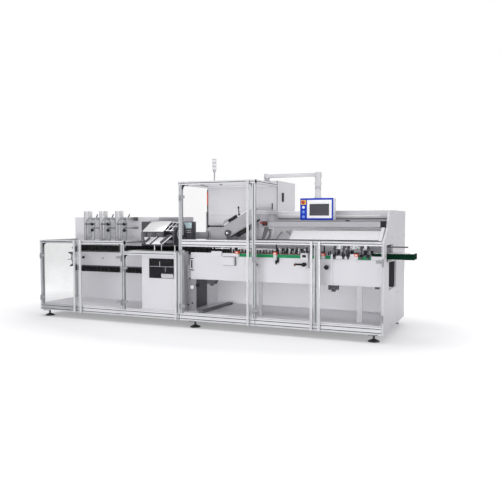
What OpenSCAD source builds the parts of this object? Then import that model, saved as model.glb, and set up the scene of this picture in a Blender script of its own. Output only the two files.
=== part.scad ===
// Automatic cartoner: bucket infeed, leaflet folder, carton tower, cartoning bed,
// outfeed and operator panel.
// Millimetres, +Z up. The origin is on the floor under the middle of the machine.
// The modules work from the infeed end (X), the guard front (Y) and the floor (Z); row() moves them.

/* [Frame] */
// Guard frame length, infeed end to the end panel's outer face
frame_l = 4500; // [4400:10:4700]
// Depth of the cartoning module, guard front to cabinet back
frame_d = 1350; // [1300:10:1450]
// Guard front to the face of the infeed's rear cabinet
infeed_d = 700; // [690:5:740]
// Depth of the infeed's rear cabinet
infeed_cabinet_d = 250; // [200:10:300]
// Guard front to the back of the tower's frame
tower_d = 685; // [660:5:720]
// Guard front to the back wall under the bed
wall_y = 980; // [900:10:1050]
// Floor to the underside of the base rails
floor_gap = 85; // [75:1:110]

/* [Stations] */
// Infeed end to the post before the folder
mid_x = 1290; // [1260:5:1320]
// Infeed end to the tower
tower_x = 2110; // [2090:5:2150]
// Length of the tower
tower_l = 974; // [960:2:1000]
// Tower to the post between the two bed doors
split_gap = 679; // [650:1:700]

/* [Heights] */
// Top of the infeed guard
infeed_h = 1006; // [990:1:1030]
// Top of the folder section's front rail
folder_h = 880; // [860:1:900]
// Top of the bed's front rail
table_h = 1036; // [1020:1:1050]
// Top of the tower's frame
tower_h = 1711; // [1680:1:1750]
// Top of the rear housing
housing_h = 1372; // [1350:1:1400]
// Underside of the rear housing where it overhangs the bed
housing_z = 800; // [780:1:815]
// Top of the cabinet behind the tower
cabinet_h = 1741; // [1720:1:1780]
// Top of the infeed's rear cabinet
infeed_cabinet_h = 1305; // [1280:1:1340]
// Top of the cabinet's low end beside the tower
low_cabinet_h = 1000; // [960:1:1010]

/* [Profiles] */
// Side of the guard profile
prof = 40; // [40:1:42]
// Height of the base profile
base_h = 80; // [80:1:84]
// Mouth of a profile slot
slot_mouth = 8; // [6:0.5:10]
// Wall between a slot's chamber and the outside
slot_lip = 4; // [3:0.5:5]
// Width of a slot's chamber
slot_w = 16; // [14:0.5:18]
// Depth of a slot
slot_d = 11; // [9:0.5:12]
// Thickness of the black end caps
cap_t = 4; // [3:0.5:6]
// Thickness of the floor trays
tray_t = 6; // [4:0.5:8]
// Thickness of the end panel
end_t = 20; // [18:1:24]
// Leg of a corner bracket
gusset = 50; // [40:1:56]

/* [Bucket conveyor] */
// Infeed end to the first shaft
bucket_x0 = 336; // [320:1:380]
// Shaft to shaft
bucket_l = 3110; // [3000:10:3200]
// Height of the shafts
bucket_z = 754; // [740:1:760]
// Guard front to the near side plate
bucket_y = 330; // [326:1:345]
// Outside width of the conveyor
bucket_w = 150; // [130:1:155]
// Radius of the side plates' ends
bucket_r = 88; // [80:1:92]
// Thickness of a side plate
plate_t = 8; // [6:0.5:10]
// Thickness of the chain
chain_t = 18; // [14:0.5:20]
// Height of a flight above the chain
flight_h = 70; // [50:1:75]
// Thickness of a flight
flight_t = 7; // [5:0.5:10]
// Spacing of the flights
flight_pitch = 60; // [55:1:80]

/* [Product magazines] */
// Number of magazines
magazine_n = 3; // [2:1:3]
// Infeed end to the first magazine
magazine_x = 405; // [395:1:420]
// Spacing of the magazines
magazine_pitch = 255; // [250:1:265]
// Width of a magazine's chute
magazine_w = 150; // [130:1:155]
// Width of the upright beside a chute
upright_w = 74; // [60:1:76]
// Thickness of the magazine plates
chute_t = 5; // [4:0.5:6]
// Underside of a magazine
magazine_z = 966; // [962:1:975]
// Top of a magazine
magazine_top = 1385; // [1350:1:1400]

/* [Carton bed] */
// Guard front to the face of the apron
apron_y = 180; // [178:1:186]
// Lower edge of the apron
apron_z = 558; // [545:1:565]
// Upper edge of the apron
apron_h = 878; // [876:1:880]
// Thickness of the apron
apron_t = 10; // [6:0.5:12]
// Tower to the first shaft of the carton chain
carton_gap = 380; // [360:1:420]
// Last shaft of the carton chain to the end panel
carton_end = 250; // [242:1:280]
// Height of the carton chain's shafts
carton_z = 836; // [834:1:838]
// Outer radius of the carton chain
carton_r = 40; // [36:1:41]
// Spacing of the carton lugs
lug_pitch = 76; // [70:1:95]
// Height of a carton lug
lug_h = 46; // [36:1:50]
// Thickness of a carton lug
lug_t = 6; // [4:0.5:8]
// Height of the green guide rail
guide_h = 35; // [28:1:36]
// Height of the outfeed belts
belt_h = 62; // [50:1:70]
// End panel to the far end of the outfeed belts
outfeed_l = 275; // [250:5:320]

/* [Leaflet folder] */
// Post before the folder to the folder's left end
fold_gap = 264; // [255:1:275]
// Length of the folder's body
fold_l = 292; // [280:1:300]
// Length of the open works at the folder's right end
fold_works = 146; // [130:1:150]

/* [Carton magazine] */
// Length of the magazine's beam between its shafts
mag_l = 432; // [420:1:436]
// Slope of the magazine
mag_tilt = 29; // [27:0.5:31]
// Radius of the beam's ends
mag_r = 44; // [40:1:46]
// Width of the magazine
mag_w = 100; // [90:1:110]

/* [Guards] */
// Thickness of the clear panels
pane_t = 6; // [5:0.5:7]
// Frame to the back of a closed door
door_gap = 8; // [7:0.5:9]
// Frame to the axis of a door hinge
hinge_y = 20; // [18:0.5:22]
// Radius of a hinge pin
pin_r = 4; // [3.5:0.1:4.5]
// Radius of a hinge sleeve
sleeve_r = 7; // [6.5:0.1:7.5]
// Running gap between a pin and its sleeve
run = 0.06; // [0.03:0.01:0.1]
// Width of a door's handle bar
bar_w = 22; // [18:1:24]
// Depth of a door's handle bar
bar_d = 20; // [16:1:22]
// Front rail to the hood's hinge
hood_rise = 150; // [145:1:160]
// Length of the hood down its slope
hood_l = 222; // [200:1:224]
// Slope of the closed hood
hood_tilt = 40; // [39:0.5:43]

/* [Operator panel] */
// Guard front to the arm
arm_y = 400; // [390:1:420]
// Tower to the drop tube
arm_reach = 618; // [600:1:640]
// Tower to the top of the arm
arm_rise = 87; // [80:1:120]
// Width of the operator panel
hmi_w = 383; // [340:1:400]
// Hood beam to the underside of the operator panel
hmi_gap = 12; // [8:1:30]
// Height of the operator panel
hmi_h = 246; // [220:1:260]
// Depth of the operator panel
hmi_d = 120; // [90:1:130]

/* [Hidden] */
$fn = 64;
base_top = floor_gap + base_h;
tray_top = base_top + tray_t;
tower_r = tower_x + tower_l;
x_end = frame_l - end_t;
split_x = tower_r + split_gap;
infeed_back = infeed_d + infeed_cabinet_d;
stations = [0, mid_x, tower_x, tower_r - prof, x_end - prof];
outfeed_x0 = frame_l - 168;
outfeed_x1 = frame_l + outfeed_l;
low_x = tower_x - 330;
door_proud = door_gap + pane_t + bar_d;
x_mid = outfeed_x1 / 2;
y_mid = (frame_d - door_proud) / 2;
seat = 0.3;
// Bucket conveyor
bucket_back = bucket_y + bucket_w;
ring_in = bucket_r + seat;
ring_out = ring_in + chain_t;
// Carton chain
carton_x0 = tower_x + carton_gap;
carton_l = x_end - carton_end - carton_x0;
carton_y = apron_y + apron_t + 15;
carton_w = 100;
carton_ring_t = 10;
deck_z = carton_z - carton_r - lug_h - 22;
guide_z = apron_h - guide_h - 2;
belt_z = carton_z + 14;
// Hood
hood_y = 188;
hood_z = table_h + hood_rise;
beam_y = hood_y + 12;
beam_d = 140;
beam_h = 70;
beam_cap = 14;
beam_z = hood_z - 6;
beam_top = beam_z + beam_h;
hood_x0 = tower_r + 16;
hood_x1 = x_end - 40;
// Operator arm
arm_x = tower_r - prof / 2;
arm_h = 54;
arm_top = tower_h + arm_rise;
drop_x = arm_x + arm_reach;
drop_r = 33;
swivel_z = arm_top - 144;
hmi_z = beam_top + hmi_gap;
// Crank
crank_x = tower_r + 542;
crank_z = apron_h - 98;
crank_y = 100;

module row() {
    translate([-x_mid, -y_mid, 0]) children();
}

module block(x0, x1, y0, y1, z0, z1) {
    translate([x0, y0, z0]) cube([x1 - x0, y1 - y0, z1 - z0]);
}

// A shape drawn in X and Z, given thickness in Y
module in_xz(y0, y1) {
    translate([0, y1, 0]) rotate([90, 0, 0]) linear_extrude(y1 - y0) children();
}

// A shape drawn in Y and Z, given length in X
module in_yz(x0, x1) {
    translate([x0, 0, 0]) rotate([90, 0, 90]) linear_extrude(x1 - x0) children();
}

module rod_x(x0, x1, y, z, r) {
    translate([x0, y, z]) rotate([0, 90, 0]) cylinder(h = x1 - x0, r = r);
}

module rod_y(x, y0, y1, z, r) {
    translate([x, y1, z]) rotate([90, 0, 0]) cylinder(h = y1 - y0, r = r);
}

module rod_z(x, y, z0, z1, r) {
    translate([x, y, z0]) cylinder(h = z1 - z0, r = r);
}

// Guard profile with a T-slot in each prof of its sides
module slot_2d() {
    translate([-slot_mouth / 2, -1]) square([slot_mouth, slot_lip + 2]);
    translate([-slot_w / 2, slot_lip]) square([slot_w, slot_d - slot_lip]);
}

module profile_2d(w, h) {
    difference() {
        square([w, h]);
        for (x = [prof / 2 : prof : w]) {
            translate([x, 0]) slot_2d();
            translate([x, h]) rotate(180) slot_2d();
        }
        for (y = [prof / 2 : prof : h]) {
            translate([0, y]) rotate(-90) slot_2d();
            translate([w, y]) rotate(90) slot_2d();
        }
    }
}

module bar_x(x0, x1, y, z, h) {
    translate([0, y, z]) in_yz(x0, x1) profile_2d(prof, h);
}

module bar_y(x, y0, y1, z, h) {
    translate([x, 0, z]) in_xz(y0, y1) profile_2d(prof, h);
}

module bar_z(x, y, z0, z1) {
    translate([x, y, z0]) linear_extrude(z1 - z0) profile_2d(prof, prof);
}

// Long shape with round ends
module stadium(l, r) {
    translate([0, -r]) square([l, 2 * r]);
    circle(r);
    translate([l, 0]) circle(r);
}

module loop(l, r_in, r_out) {
    difference() {
        stadium(l, r_out);
        stadium(l, r_in);
    }
}

// Moves a piece drawn upright at the origin to the distance s along a loop
// of shaft spacing l and radius r
module along(s, l, r) {
    arc = PI * r;
    if (s < l) translate([s, 0, r]) children();
    else if (s < l + arc)
        translate([l, 0, 0]) rotate([0, (s - l) / arc * 180, 0]) translate([0, 0, r]) children();
    else if (s < 2 * l + arc) translate([2 * l + arc - s, 0, -r]) rotate([0, 180, 0]) children();
    else rotate([0, 180 + (s - 2 * l - arc) / arc * 180, 0]) translate([0, 0, r]) children();
}

module foot(x, y) {
    translate([x, y, 0]) {
        rotate_extrude() polygon([[0, 0], [60, 0], [62, 4], [60, 10], [26, 26], [18, 30], [0, 30]]);
        cylinder(h = floor_gap - 5, r = 12);
        translate([-50, -70, floor_gap - 10]) cube([100, 140, 10]);
    }
}

module levelling_feet() {
    color("DimGray") row() {
        foot(80, 80);
        foot(80, infeed_back - 80);
        for (x = [tower_x + 172, x_end - 91], y = [80, frame_d - 80]) foot(x, y);
    }
}

module cross_rails() {
    color("LightGray") row() {
        for (i = [0 : len(stations) - 1])
            bar_y(stations[i], prof, i < 2 ? infeed_back : frame_d, floor_gap, base_h);
        for (x = [0, mid_x]) bar_y(x, prof, infeed_d, infeed_h - prof, prof);
        for (x = [tower_x, tower_r - prof]) bar_y(x, prof, tower_d, tower_h - prof, prof);
        bar_y(tower_x, prof, tower_d, infeed_h - prof, prof);
        bar_y(tower_r - prof, prof, tower_d, housing_h - prof, prof);
    }
}

// The front rails of each module, [from, to, underside, height]
front_rails = [
    [0, tower_x - 1, floor_gap, base_h],
    [tower_x, tower_r, floor_gap, base_h],
    [0, mid_x + prof, infeed_h - prof, prof],
    [tower_x, tower_r, tower_h - prof, prof]];

module long_rails() {
    color("LightGray") row() {
        for (r = front_rails) bar_x(r[0] + cap_t, r[1] - cap_t, 0, r[2], r[3]);
        bar_x(tower_r, x_end, 0, floor_gap, base_h);
        for (i = [0 : 1]) bar_x(stations[i] + prof, stations[i + 1], infeed_back - prof, floor_gap, base_h);
        for (i = [2 : 3]) bar_x(stations[i] + prof, stations[i + 1], frame_d - prof, floor_gap, base_h);
        bar_x(mid_x + prof, tower_x - prof - 1, 0, folder_h - prof, prof);
        bar_x(tower_x + prof, tower_r - prof, tower_d - prof, tower_h - prof, prof);
        bar_x(tower_x + prof, tower_r - prof, 0, table_h - 2 * prof, 2 * prof);
        bar_x(tower_r, x_end, 0, table_h - prof, prof);
    }
}

module floor_trays() {
    color("Silver") row() {
        block(0, tower_x - 1, prof, infeed_d, base_top, tray_top);
        block(tower_x + 1, x_end, prof, wall_y, base_top, tray_top);
        block(tower_x + 220, tower_x + 280, prof + 30, wall_y - 90, tray_top, tray_top + 25);
    }
}

module guard_posts() {
    color("LightGray") row() {
        for (x = [0, mid_x]) bar_z(x, 0, base_top, infeed_h - prof);
        bar_z(0, infeed_d - prof, tray_top, infeed_h - prof);
        bar_z(tower_x - prof - 1, 0, base_top, folder_h);
        for (x = [tower_x, tower_r - prof]) bar_z(x, 0, base_top, tower_h - prof);
        bar_z(split_x, 0, base_top, table_h - prof);
    }
}

// Corner bracket against a post at x and a rail at z; sx and sz give the corner it fills
module bracket(x, z, sx, sz) {
    translate([x, 0, z]) in_xz(prof / 2 - 8, prof / 2 + 8) scale([sx, sz]) difference() {
        square(gusset);
        translate([gusset, gusset]) circle(gusset - 7);
    }
}

module profile_fittings() {
    color("DimGray") row() {
        for (r = front_rails, x = [r[0], r[1] - cap_t]) block(x, x + cap_t, 0, prof, r[2], r[2] + r[3]);
        block(x_end - beam_cap, x_end, beam_y, beam_y + beam_d, beam_z, beam_top);
        bracket(prof, infeed_h - prof, 1, -1);
        bracket(mid_x, infeed_h - prof, -1, -1);
        bracket(mid_x + prof, folder_h, 1, 1);
        bracket(mid_x + prof, folder_h - prof, 1, -1);
        bracket(tower_x + prof, tower_h - prof, 1, -1);
        bracket(tower_r - prof, tower_h - prof, -1, -1);
        bracket(tower_x + prof, table_h - 2 * prof, 1, -1);
        bracket(tower_r - prof, table_h - 2 * prof, -1, -1);
        bracket(tower_x + prof, table_h, 1, 1);
        bracket(tower_r - prof, table_h, -1, 1);
        bracket(split_x + prof, table_h - prof, 1, -1);
        bracket(split_x, table_h - prof, -1, -1);
    }
}

// Doors: hinge place, far edge, height, bar place
hinge_infeed_l = prof / 2;
hinge_infeed_r = mid_x + 9;
hinge_folder = mid_x + prof - 9;
hinge_tower = tower_x + prof / 2;
hinge_bed_l = tower_r - prof / 2;
hinge_bed_r = x_end + end_t / 2;
sleeve_h = 40;
knuckle_h = 24;
door_z0 = floor_gap + 8;

function hinge_zs(top) = top > tower_h - 100 ? [240, (240 + top - 200) / 2, top - 200] : [240, top - 220];

module fixed_hinge(x, top) {
    for (z = hinge_zs(top)) translate([x, 0, z]) {
        block(-sleeve_r, sleeve_r, -3, 0, -knuckle_h - 10, sleeve_h + 10);
        block(-sleeve_r, sleeve_r, -hinge_y, -2, -knuckle_h, 0);
        rod_z(0, -hinge_y, -knuckle_h, 0, sleeve_r);
        rod_z(0, -hinge_y, -1, sleeve_h - 2, pin_r);
    }
}

module door_hinges() {
    color("DarkGray") row() {
        fixed_hinge(hinge_infeed_l, infeed_h);
        fixed_hinge(hinge_infeed_r, infeed_h);
        fixed_hinge(hinge_folder, folder_h);
        fixed_hinge(hinge_tower, tower_h);
        fixed_hinge(hinge_bed_l, table_h);
        fixed_hinge(hinge_bed_r, table_h);
    }
}

// The doors are drawn from their hinge; dir is 1 when it is at the left
module door_pane(x, dir, l, top) {
    translate([x, 0, 0]) scale([dir, 1, 1]) block(10, l, -door_gap - pane_t, -door_gap, door_z0, top - 6);
}

module door_fittings(x, dir, bar, top) {
    arm_y0 = -door_gap - pane_t - 4;
    translate([x, 0, 0]) scale([dir, 1, 1]) {
        block(bar - bar_w / 2, bar + bar_w / 2, -door_proud, -door_gap - pane_t, floor_gap + 2, top);
        for (z = hinge_zs(top)) difference() {
            union() {
                rod_z(0, -hinge_y, z + 0.5, z + sleeve_h, sleeve_r);
                block(0, 70, arm_y0, -door_gap - pane_t, z + 4, z + sleeve_h - 4);
            }
            rod_z(0, -hinge_y, z - 1, z + sleeve_h + 1, pin_r + run);
        }
    }
}

infeed_l_l = 612;
infeed_r_l = hinge_infeed_r - 646;
folder_l = tower_x - 22 - hinge_folder;
tower_door_l = tower_l - 64;
bed_l_l = split_gap + 31;
bed_r_l = hinge_bed_r - split_x - 29;

module infeed_door_left() {
    color("LightCyan") row() door_pane(hinge_infeed_l, 1, infeed_l_l, infeed_h);
}

module infeed_door_left_fittings() {
    color("WhiteSmoke") row() door_fittings(hinge_infeed_l, 1, infeed_l_l - 47, infeed_h);
}

module infeed_door_right() {
    color("LightCyan") row() door_pane(hinge_infeed_r, -1, infeed_r_l, infeed_h);
}

module infeed_door_right_fittings() {
    color("WhiteSmoke") row() door_fittings(hinge_infeed_r, -1, infeed_r_l - 34, infeed_h);
}

module folder_door() {
    color("LightCyan") row() door_pane(hinge_folder, 1, folder_l, folder_h);
}

module folder_door_fittings() {
    color("WhiteSmoke") row() door_fittings(hinge_folder, 1, folder_l - 14, folder_h);
}

module tower_door() {
    color("LightCyan") row() door_pane(hinge_tower, 1, tower_door_l, tower_h);
}

module tower_door_fittings() {
    color("WhiteSmoke") row() door_fittings(hinge_tower, 1, tower_door_l - 35, tower_h);
}

module bed_door_left() {
    color("LightCyan") row() door_pane(hinge_bed_l, 1, bed_l_l, table_h);
}

module bed_door_left_fittings() {
    color("WhiteSmoke") row() door_fittings(hinge_bed_l, 1, bed_l_l - 34, table_h);
}

module bed_door_right() {
    color("LightCyan") row() door_pane(hinge_bed_r, -1, bed_r_l, table_h);
}

module bed_door_right_fittings() {
    color("WhiteSmoke") row() door_fittings(hinge_bed_r, -1, bed_r_l - 34, table_h);
}

module fixed_panes() {
    color("LightCyan") row() {
        block(16, 22, prof, infeed_d - prof, tray_top, infeed_h - prof);
        difference() {
            block(tower_x + 16, tower_x + 22, prof, tower_d, infeed_h, tower_h - prof);
            block(tower_x, tower_x + prof, board_y - 6, board_y + board_t + 6, panel_z - 6, panel_top + 6);
        }
        block(tower_r - 22, tower_r - 16, prof, tower_d, housing_h, tower_h - prof);
    }
}

// Shut lines that part a back wall at y into n doors
module seams(x0, x1, n, y, z0, z1) {
    for (i = [1 : n - 1]) {
        x = x0 + i * (x1 - x0) / n;
        block(x - 2, x + 2, y - 4, y + 1, z0 + 25, z1 - 25);
    }
    for (z = [z0 + 25, z1 - 29]) block(x0 + 25, x1 - 25, y - 4, y + 1, z, z + 4);
}

module infeed_cabinet() {
    color("Gainsboro") row() difference() {
        in_xz(infeed_d, infeed_back) polygon([[0, base_top], [tower_x - 10, base_top],
            [tower_x - 10, low_cabinet_h], [low_x, low_cabinet_h], [low_x, infeed_cabinet_h],
            [0, infeed_cabinet_h]]);
        seams(0, low_x, 3, infeed_back, base_top, infeed_cabinet_h);
    }
}

module lower_cabinet() {
    color("Gainsboro") row() difference() {
        union() {
            block(tower_x, x_end, wall_y, frame_d, base_top, housing_z);
            block(tower_x, tower_x + end_t, infeed_d + 5, wall_y + 1, tray_top, housing_z);
        }
        seams(tower_x, x_end, 4, frame_d, base_top, housing_z);
    }
}

module rear_housing() {
    color("Gainsboro") row() difference() {
        block(tower_x, x_end, tower_d, frame_d, housing_z, housing_h);
        seams(tower_x, x_end, 3, frame_d, housing_z, housing_h);
        translate([0, tower_d, housing_h - 70]) block(tower_r + 20, x_end - 20, -1, 3, -2, 2);
    }
}

module tower_cabinet() {
    color("Gainsboro") row() difference() {
        block(tower_x + 22, tower_r, tower_d, frame_d - 10, housing_h, cabinet_h);
        seams(tower_x + 22, tower_r, 2, frame_d - 10, housing_h, cabinet_h);
    }
}

// Cut-outs of the end panel: the outfeed's and the one below it
outfeed_slot = [140, 520, belt_z - 24, 1000];
service_slot = [283, 744, 518, belt_z - 32];

module end_panel() {
    color("Gainsboro") row() difference() {
        in_yz(x_end, frame_l) polygon([[0, floor_gap], [0, table_h], [200, hood_z - 6],
            [300, housing_h - 10], [frame_d, housing_h], [frame_d, floor_gap]]);
        for (c = [outfeed_slot, service_slot]) block(x_end - 1, frame_l + 1, c[0], c[1], c[2], c[3]);
    }
}

module bucket_frame() {
    color("LightGray") row() translate([bucket_x0, 0, bucket_z]) {
        for (y = [bucket_y, bucket_back - plate_t]) in_xz(y, y + plate_t) stadium(bucket_l, bucket_r);
        for (x = [0, bucket_l]) rod_y(x, bucket_y + 1, bucket_back - 1, 0, bucket_r - 10);
    }
}

module bucket_chain() {
    color("Black") row() translate([bucket_x0, 0, bucket_z])
        in_xz(bucket_y + 5, bucket_back - 5) loop(bucket_l, ring_in, ring_out);
}

module bucket_flights() {
    length = 2 * bucket_l + 2 * PI * ring_out;
    n = floor(length / flight_pitch);
    color("Black") row() translate([bucket_x0, 0, bucket_z]) for (i = [0 : n - 1])
        along(i * length / n, bucket_l, ring_out)
            block(-flight_t / 2, flight_t / 2, bucket_y + 8, bucket_back - 8, 0, flight_h);
}

// Each magazine is a chute between two channel uprights, hung on two bars from the cabinet behind
magazine_y0 = bucket_y + 8;
magazine_y1 = bucket_back - 8;
upright_d = 72;
chute_gap = 6;
chute_x = upright_w + chute_gap;
chute_top = magazine_top - 85;
bar_zs = [magazine_z + 184, magazine_z + 304];
bar_t = 16;
clamp_z = magazine_z + 236;
knob_x = chute_x + magazine_w - 26;
knob_zs = [clamp_z + 9, clamp_z - 71];

module each_magazine() {
    for (i = [0 : magazine_n - 1]) translate([magazine_x + i * magazine_pitch, 0, 0]) children();
}

module magazine_uprights() {
    color("WhiteSmoke") row() each_magazine() difference() {
        block(0, upright_w, magazine_y1 - upright_d, magazine_y1, magazine_z + 14, magazine_top);
        block(chute_t, upright_w - chute_t, magazine_y1 - upright_d - 1, magazine_y1 - chute_t,
            magazine_z + 13, magazine_top + 1);
    }
}

// Front of a chute: a U with a round foot
module chute_front_2d(inset) {
    r = magazine_w / 2 - inset;
    translate([magazine_w / 2, magazine_z + magazine_w / 2]) circle(r);
    translate([inset, magazine_z + magazine_w / 2])
        square([2 * r, chute_top - magazine_z - magazine_w / 2]);
}

module magazine_chutes() {
    color("LightCyan") row() each_magazine() translate([chute_x, 0, 0]) {
        in_xz(magazine_y0, magazine_y0 + chute_t) difference() {
            chute_front_2d(0);
            chute_front_2d(14);
            translate([30, chute_top - 1]) square([magazine_w - 60, 2]);
        }
        for (x = [0, magazine_w - chute_t])
            block(x, x + chute_t, magazine_y0, magazine_y1, magazine_z + magazine_w / 2, chute_top);
        block(0, chute_t, magazine_y0 + 40, magazine_y1, chute_top - 1, magazine_top);
    }
}

module magazine_clamps() {
    x1 = magazine_x + magazine_n * magazine_pitch;
    color("Silver") row() {
        for (z = bar_zs) {
            block(magazine_x - 15, x1, magazine_y1, magazine_y1 + bar_t, z, z + 18);
            each_magazine() block(chute_x + 50, chute_x + 74, magazine_y1 + bar_t - 1, infeed_d, z, z + 18);
        }
        each_magazine() {
            translate([chute_x, magazine_y0, clamp_z]) block(-4, magazine_w + 4, -14, 0, 0, 20);
            translate([knob_x, magazine_y0, knob_zs[1]]) block(-14, 14, -14, 0, -13, 13);
        }
    }
}

house_x0 = mid_x + 236;
house_x1 = tower_x - prof - 1;
house_y0 = 100;
house_y1 = 300;
window_t = 6;

module window_block(gap, y1) {
    block(house_x0 + 105 + gap, house_x1 - 74 - gap, house_y0, y1, 556 + gap, 799 - gap);
}

module folder_housing() {
    color("Gainsboro") row() difference() {
        block(house_x0, house_x1, house_y0, house_y1, tray_top, folder_h);
        translate([0, -1, 0]) window_block(0, house_y0 + window_t + 1);
    }
}

module folder_window() {
    color("DimGray") row() window_block(0.5, house_y0 + window_t);
}

module folder_table() {
    color("Silver") row() {
        block(mid_x + prof, tower_x - prof - 1, prof, house_y1 + 10, folder_h, folder_h + 10);
        for (x = [fold_x0 + fold_l / 2, works_x - works_t / 2], y = [120, 280])
            rod_z(x, y, folder_h + 10, fold_z0, 7);
    }
}

fold_x0 = mid_x + fold_gap;
fold_x1 = fold_x0 + fold_l;
fold_y0 = 90;
fold_z0 = folder_h + 83;
works_x = fold_x1 + fold_works;
works_t = 12;
pocket_d = 18;
plate_d = 4;

module folder_side_2d() {
    translate([fold_y0, fold_z0]) polygon([[0, 0], [0, 167], [200, 282], [280, 227], [280, 47], [220, 0]]);
}

// A leaning pocket in the folder's front, x from the folder's left end
module pocket_2d(x, inset) {
    translate([fold_x0 + x, fold_z0]) polygon([[inset, 16 + inset], [80 - inset, 16 + inset],
        [112 - inset, 150 - inset], [32 + inset, 150 - inset]]);
}

pocket_xs = [18, 150];

module leaflet_folder() {
    color("Silver") row() {
        difference() {
            in_yz(fold_x0, fold_x1) folder_side_2d();
            for (x = pocket_xs) in_xz(fold_y0 - 1, fold_y0 + pocket_d) pocket_2d(x, 0);
        }
        in_yz(works_x - works_t, works_x) difference() {
            folder_side_2d();
            translate([fold_y0 + 150, fold_z0 + 130]) circle(60);
        }
        for (x = pocket_xs) translate([fold_x0 + x + 30, fold_y0 + 7, fold_z0 + 14])
            rotate([0, 35, 0]) cylinder(h = 100, r = 6);
    }
}

// Rollers of the folding works as [distance back, height], and the dark plates of the pockets
roller_places = [[30, 40], [62, 104], [118, 160], [186, 206], [240, 150]];

module folder_rollers() {
    color("DimGray") row() {
        for (p = roller_places) {
            rod_x(fold_x1, works_x - works_t, fold_y0 + p[0], fold_z0 + p[1], 12);
            rod_x(fold_x1 + 30, works_x - works_t - 22, fold_y0 + p[0], fold_z0 + p[1], 21);
        }
        for (x = pocket_xs) in_xz(fold_y0 + pocket_d - plate_d, fold_y0 + pocket_d) pocket_2d(x, 2);
        in_yz(fold_x0 - 30, fold_x0) translate([fold_y0, fold_z0])
            polygon([[0, 66], [0, 150], [80, 196], [110, 150], [40, 66]]);
    }
}

board_y = bucket_back + 20;
board_t = 12;
panel_z = infeed_h + 22;
panel_top = panel_z + 87;

module folder_backboard() {
    color("DimGray") row() {
        block(mid_x + 190, tower_x - 50, board_y, board_y + board_t, folder_h + 20, folder_h + 365);
        for (x = [mid_x + 300, low_x - 80])
            block(x, x + 60, board_y + board_t - 1, infeed_d, folder_h + 200, folder_h + 240);
        block(tower_x - 216, tower_x - 101, board_y - 70, board_y + 1, panel_z - 3, panel_z + 211);
        block(tower_x - 51, tower_x + 125, board_y, board_y + board_t, panel_z, panel_top);
    }
}

// Folded guide over the cartons, drawn in X and Z from its left foot
arch_x = tower_r + 139;
arch_z = table_h + 10;
arch_w = 228;
arch_left = 73;
arch_right = 133;
arch_h = 93;
arch_t = 5;

module arch_2d(inset) {
    polygon([[inset * 1.3, -1 + (inset > 0 ? 0 : 1)], [arch_left + inset * 0.7, arch_h - inset],
        [arch_right - inset * 0.6, arch_h - inset], [arch_w - inset * 1.4, -1 + (inset > 0 ? 0 : 1)]]);
}

bracket_inset = 64;
bracket_pitch = 600;

module support_brackets() {
    y0 = apron_y + apron_t;
    color("Gray") row() {
        for (i = [0 : 2]) translate([bucket_x0 + bracket_inset + i * bracket_pitch, 0, bucket_z])
            block(0, 60, bucket_back, infeed_d, -30, 30);
        for (x = [tower_x + 300, tower_r + 100])
            block(x, x + 60, bucket_back, tower_d, housing_z, housing_z + 30);
        block(tower_r - 34, tower_r + 26, beam_y + 20, beam_y + beam_d - 20, beam_top, housing_h - prof);
        block(tower_x + 2, tower_x + 124, y0, y0 + 12, tray_top, deck_z);
        block(x_end - 300, x_end - 240, y0 + 12, y0 + 24, tray_top, deck_z);
        block(tower_r - 40, tower_r, y0 + 12, y0 + 24, tray_top, deck_z);
        block(x_end - 64, x_end - 28, 430, 470, tray_top, housing_z + 10);
        translate([arch_x, 0, arch_z]) {
            in_xz(230, 310) difference() {
                arch_2d(0);
                arch_2d(arch_t);
            }
            rod_y(100, 309, tower_d, arch_h - 12, 9);
        }
    }
}

// The deck with the bearer that carries the carton chains
module bed_deck() {
    r = carton_r - carton_ring_t - seat;
    color("Silver") row() {
        block(tower_x + 50, x_end, apron_y + apron_t, bucket_y - 8, deck_z, deck_z + 12);
        translate([carton_x0, 0, carton_z]) {
            for (y = [carton_y, carton_y + carton_w - 30]) in_xz(y, y + 30) stadium(carton_l, r);
            block(20, carton_l - 20, carton_y + 29, carton_y + carton_w - 29, deck_z + 11 - carton_z, r);
        }
    }
}

cover_x0 = x_end - 578;
cover_x1 = x_end - 14;

module bed_apron() {
    color("Gainsboro") row() {
        block(tower_x + 61, x_end, apron_y, apron_y + apron_t, apron_z, apron_h);
        block(cover_x0, cover_x1, apron_y - 12, apron_y + 1, apron_z + 8, guide_z - 5);
        block(cover_x0, cover_x0 + 22, apron_y - 26, apron_y - 11, apron_z + 2, apron_h + 18);
        block(cover_x0 + 208, cover_x0 + 262, apron_y - 14, apron_y - 11, guide_z - 30, apron_h + 22);
    }
}

module carton_chain() {
    color("Black") row() translate([carton_x0, 0, carton_z])
        for (y = [carton_y, carton_y + carton_w - 28])
            in_xz(y, y + 28) loop(carton_l, carton_r - carton_ring_t, carton_r);
}

module carton_lugs() {
    length = 2 * carton_l + 2 * PI * carton_r;
    n = floor(length / lug_pitch);
    color("Black") row() translate([carton_x0, 0, carton_z]) for (i = [0 : n - 1])
        along(i * length / n, carton_l, carton_r) for (y = [carton_y, carton_y + carton_w - 28])
            block(-lug_t / 2, lug_t / 2, y + 1, y + 27, 0, lug_h);
}

module guide_rails() {
    color("MediumSeaGreen") row() {
        block(tower_x + 670, crank_x - 60, apron_y - 12, apron_y, guide_z, guide_z + guide_h);
        block(crank_x + 50, cover_x0 - 6, apron_y - 12, apron_y, guide_z, guide_z + guide_h);
        block(cover_x0 + 28, cover_x0 + 202, apron_y - 12, apron_y, guide_z, guide_z + guide_h);
        block(cover_x0 + 268, x_end - 150, apron_y - 12, apron_y, guide_z, guide_z + guide_h);
    }
}

// Posts with arms and fingers over the cartons, and the hold-down bar at the outfeed
closing_xs = [cover_x0 + 40, cover_x0 + 138, cover_x0 + 188, cover_x0 + 330, cover_x0 + 400];
closing_z = apron_h + 68;

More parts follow.
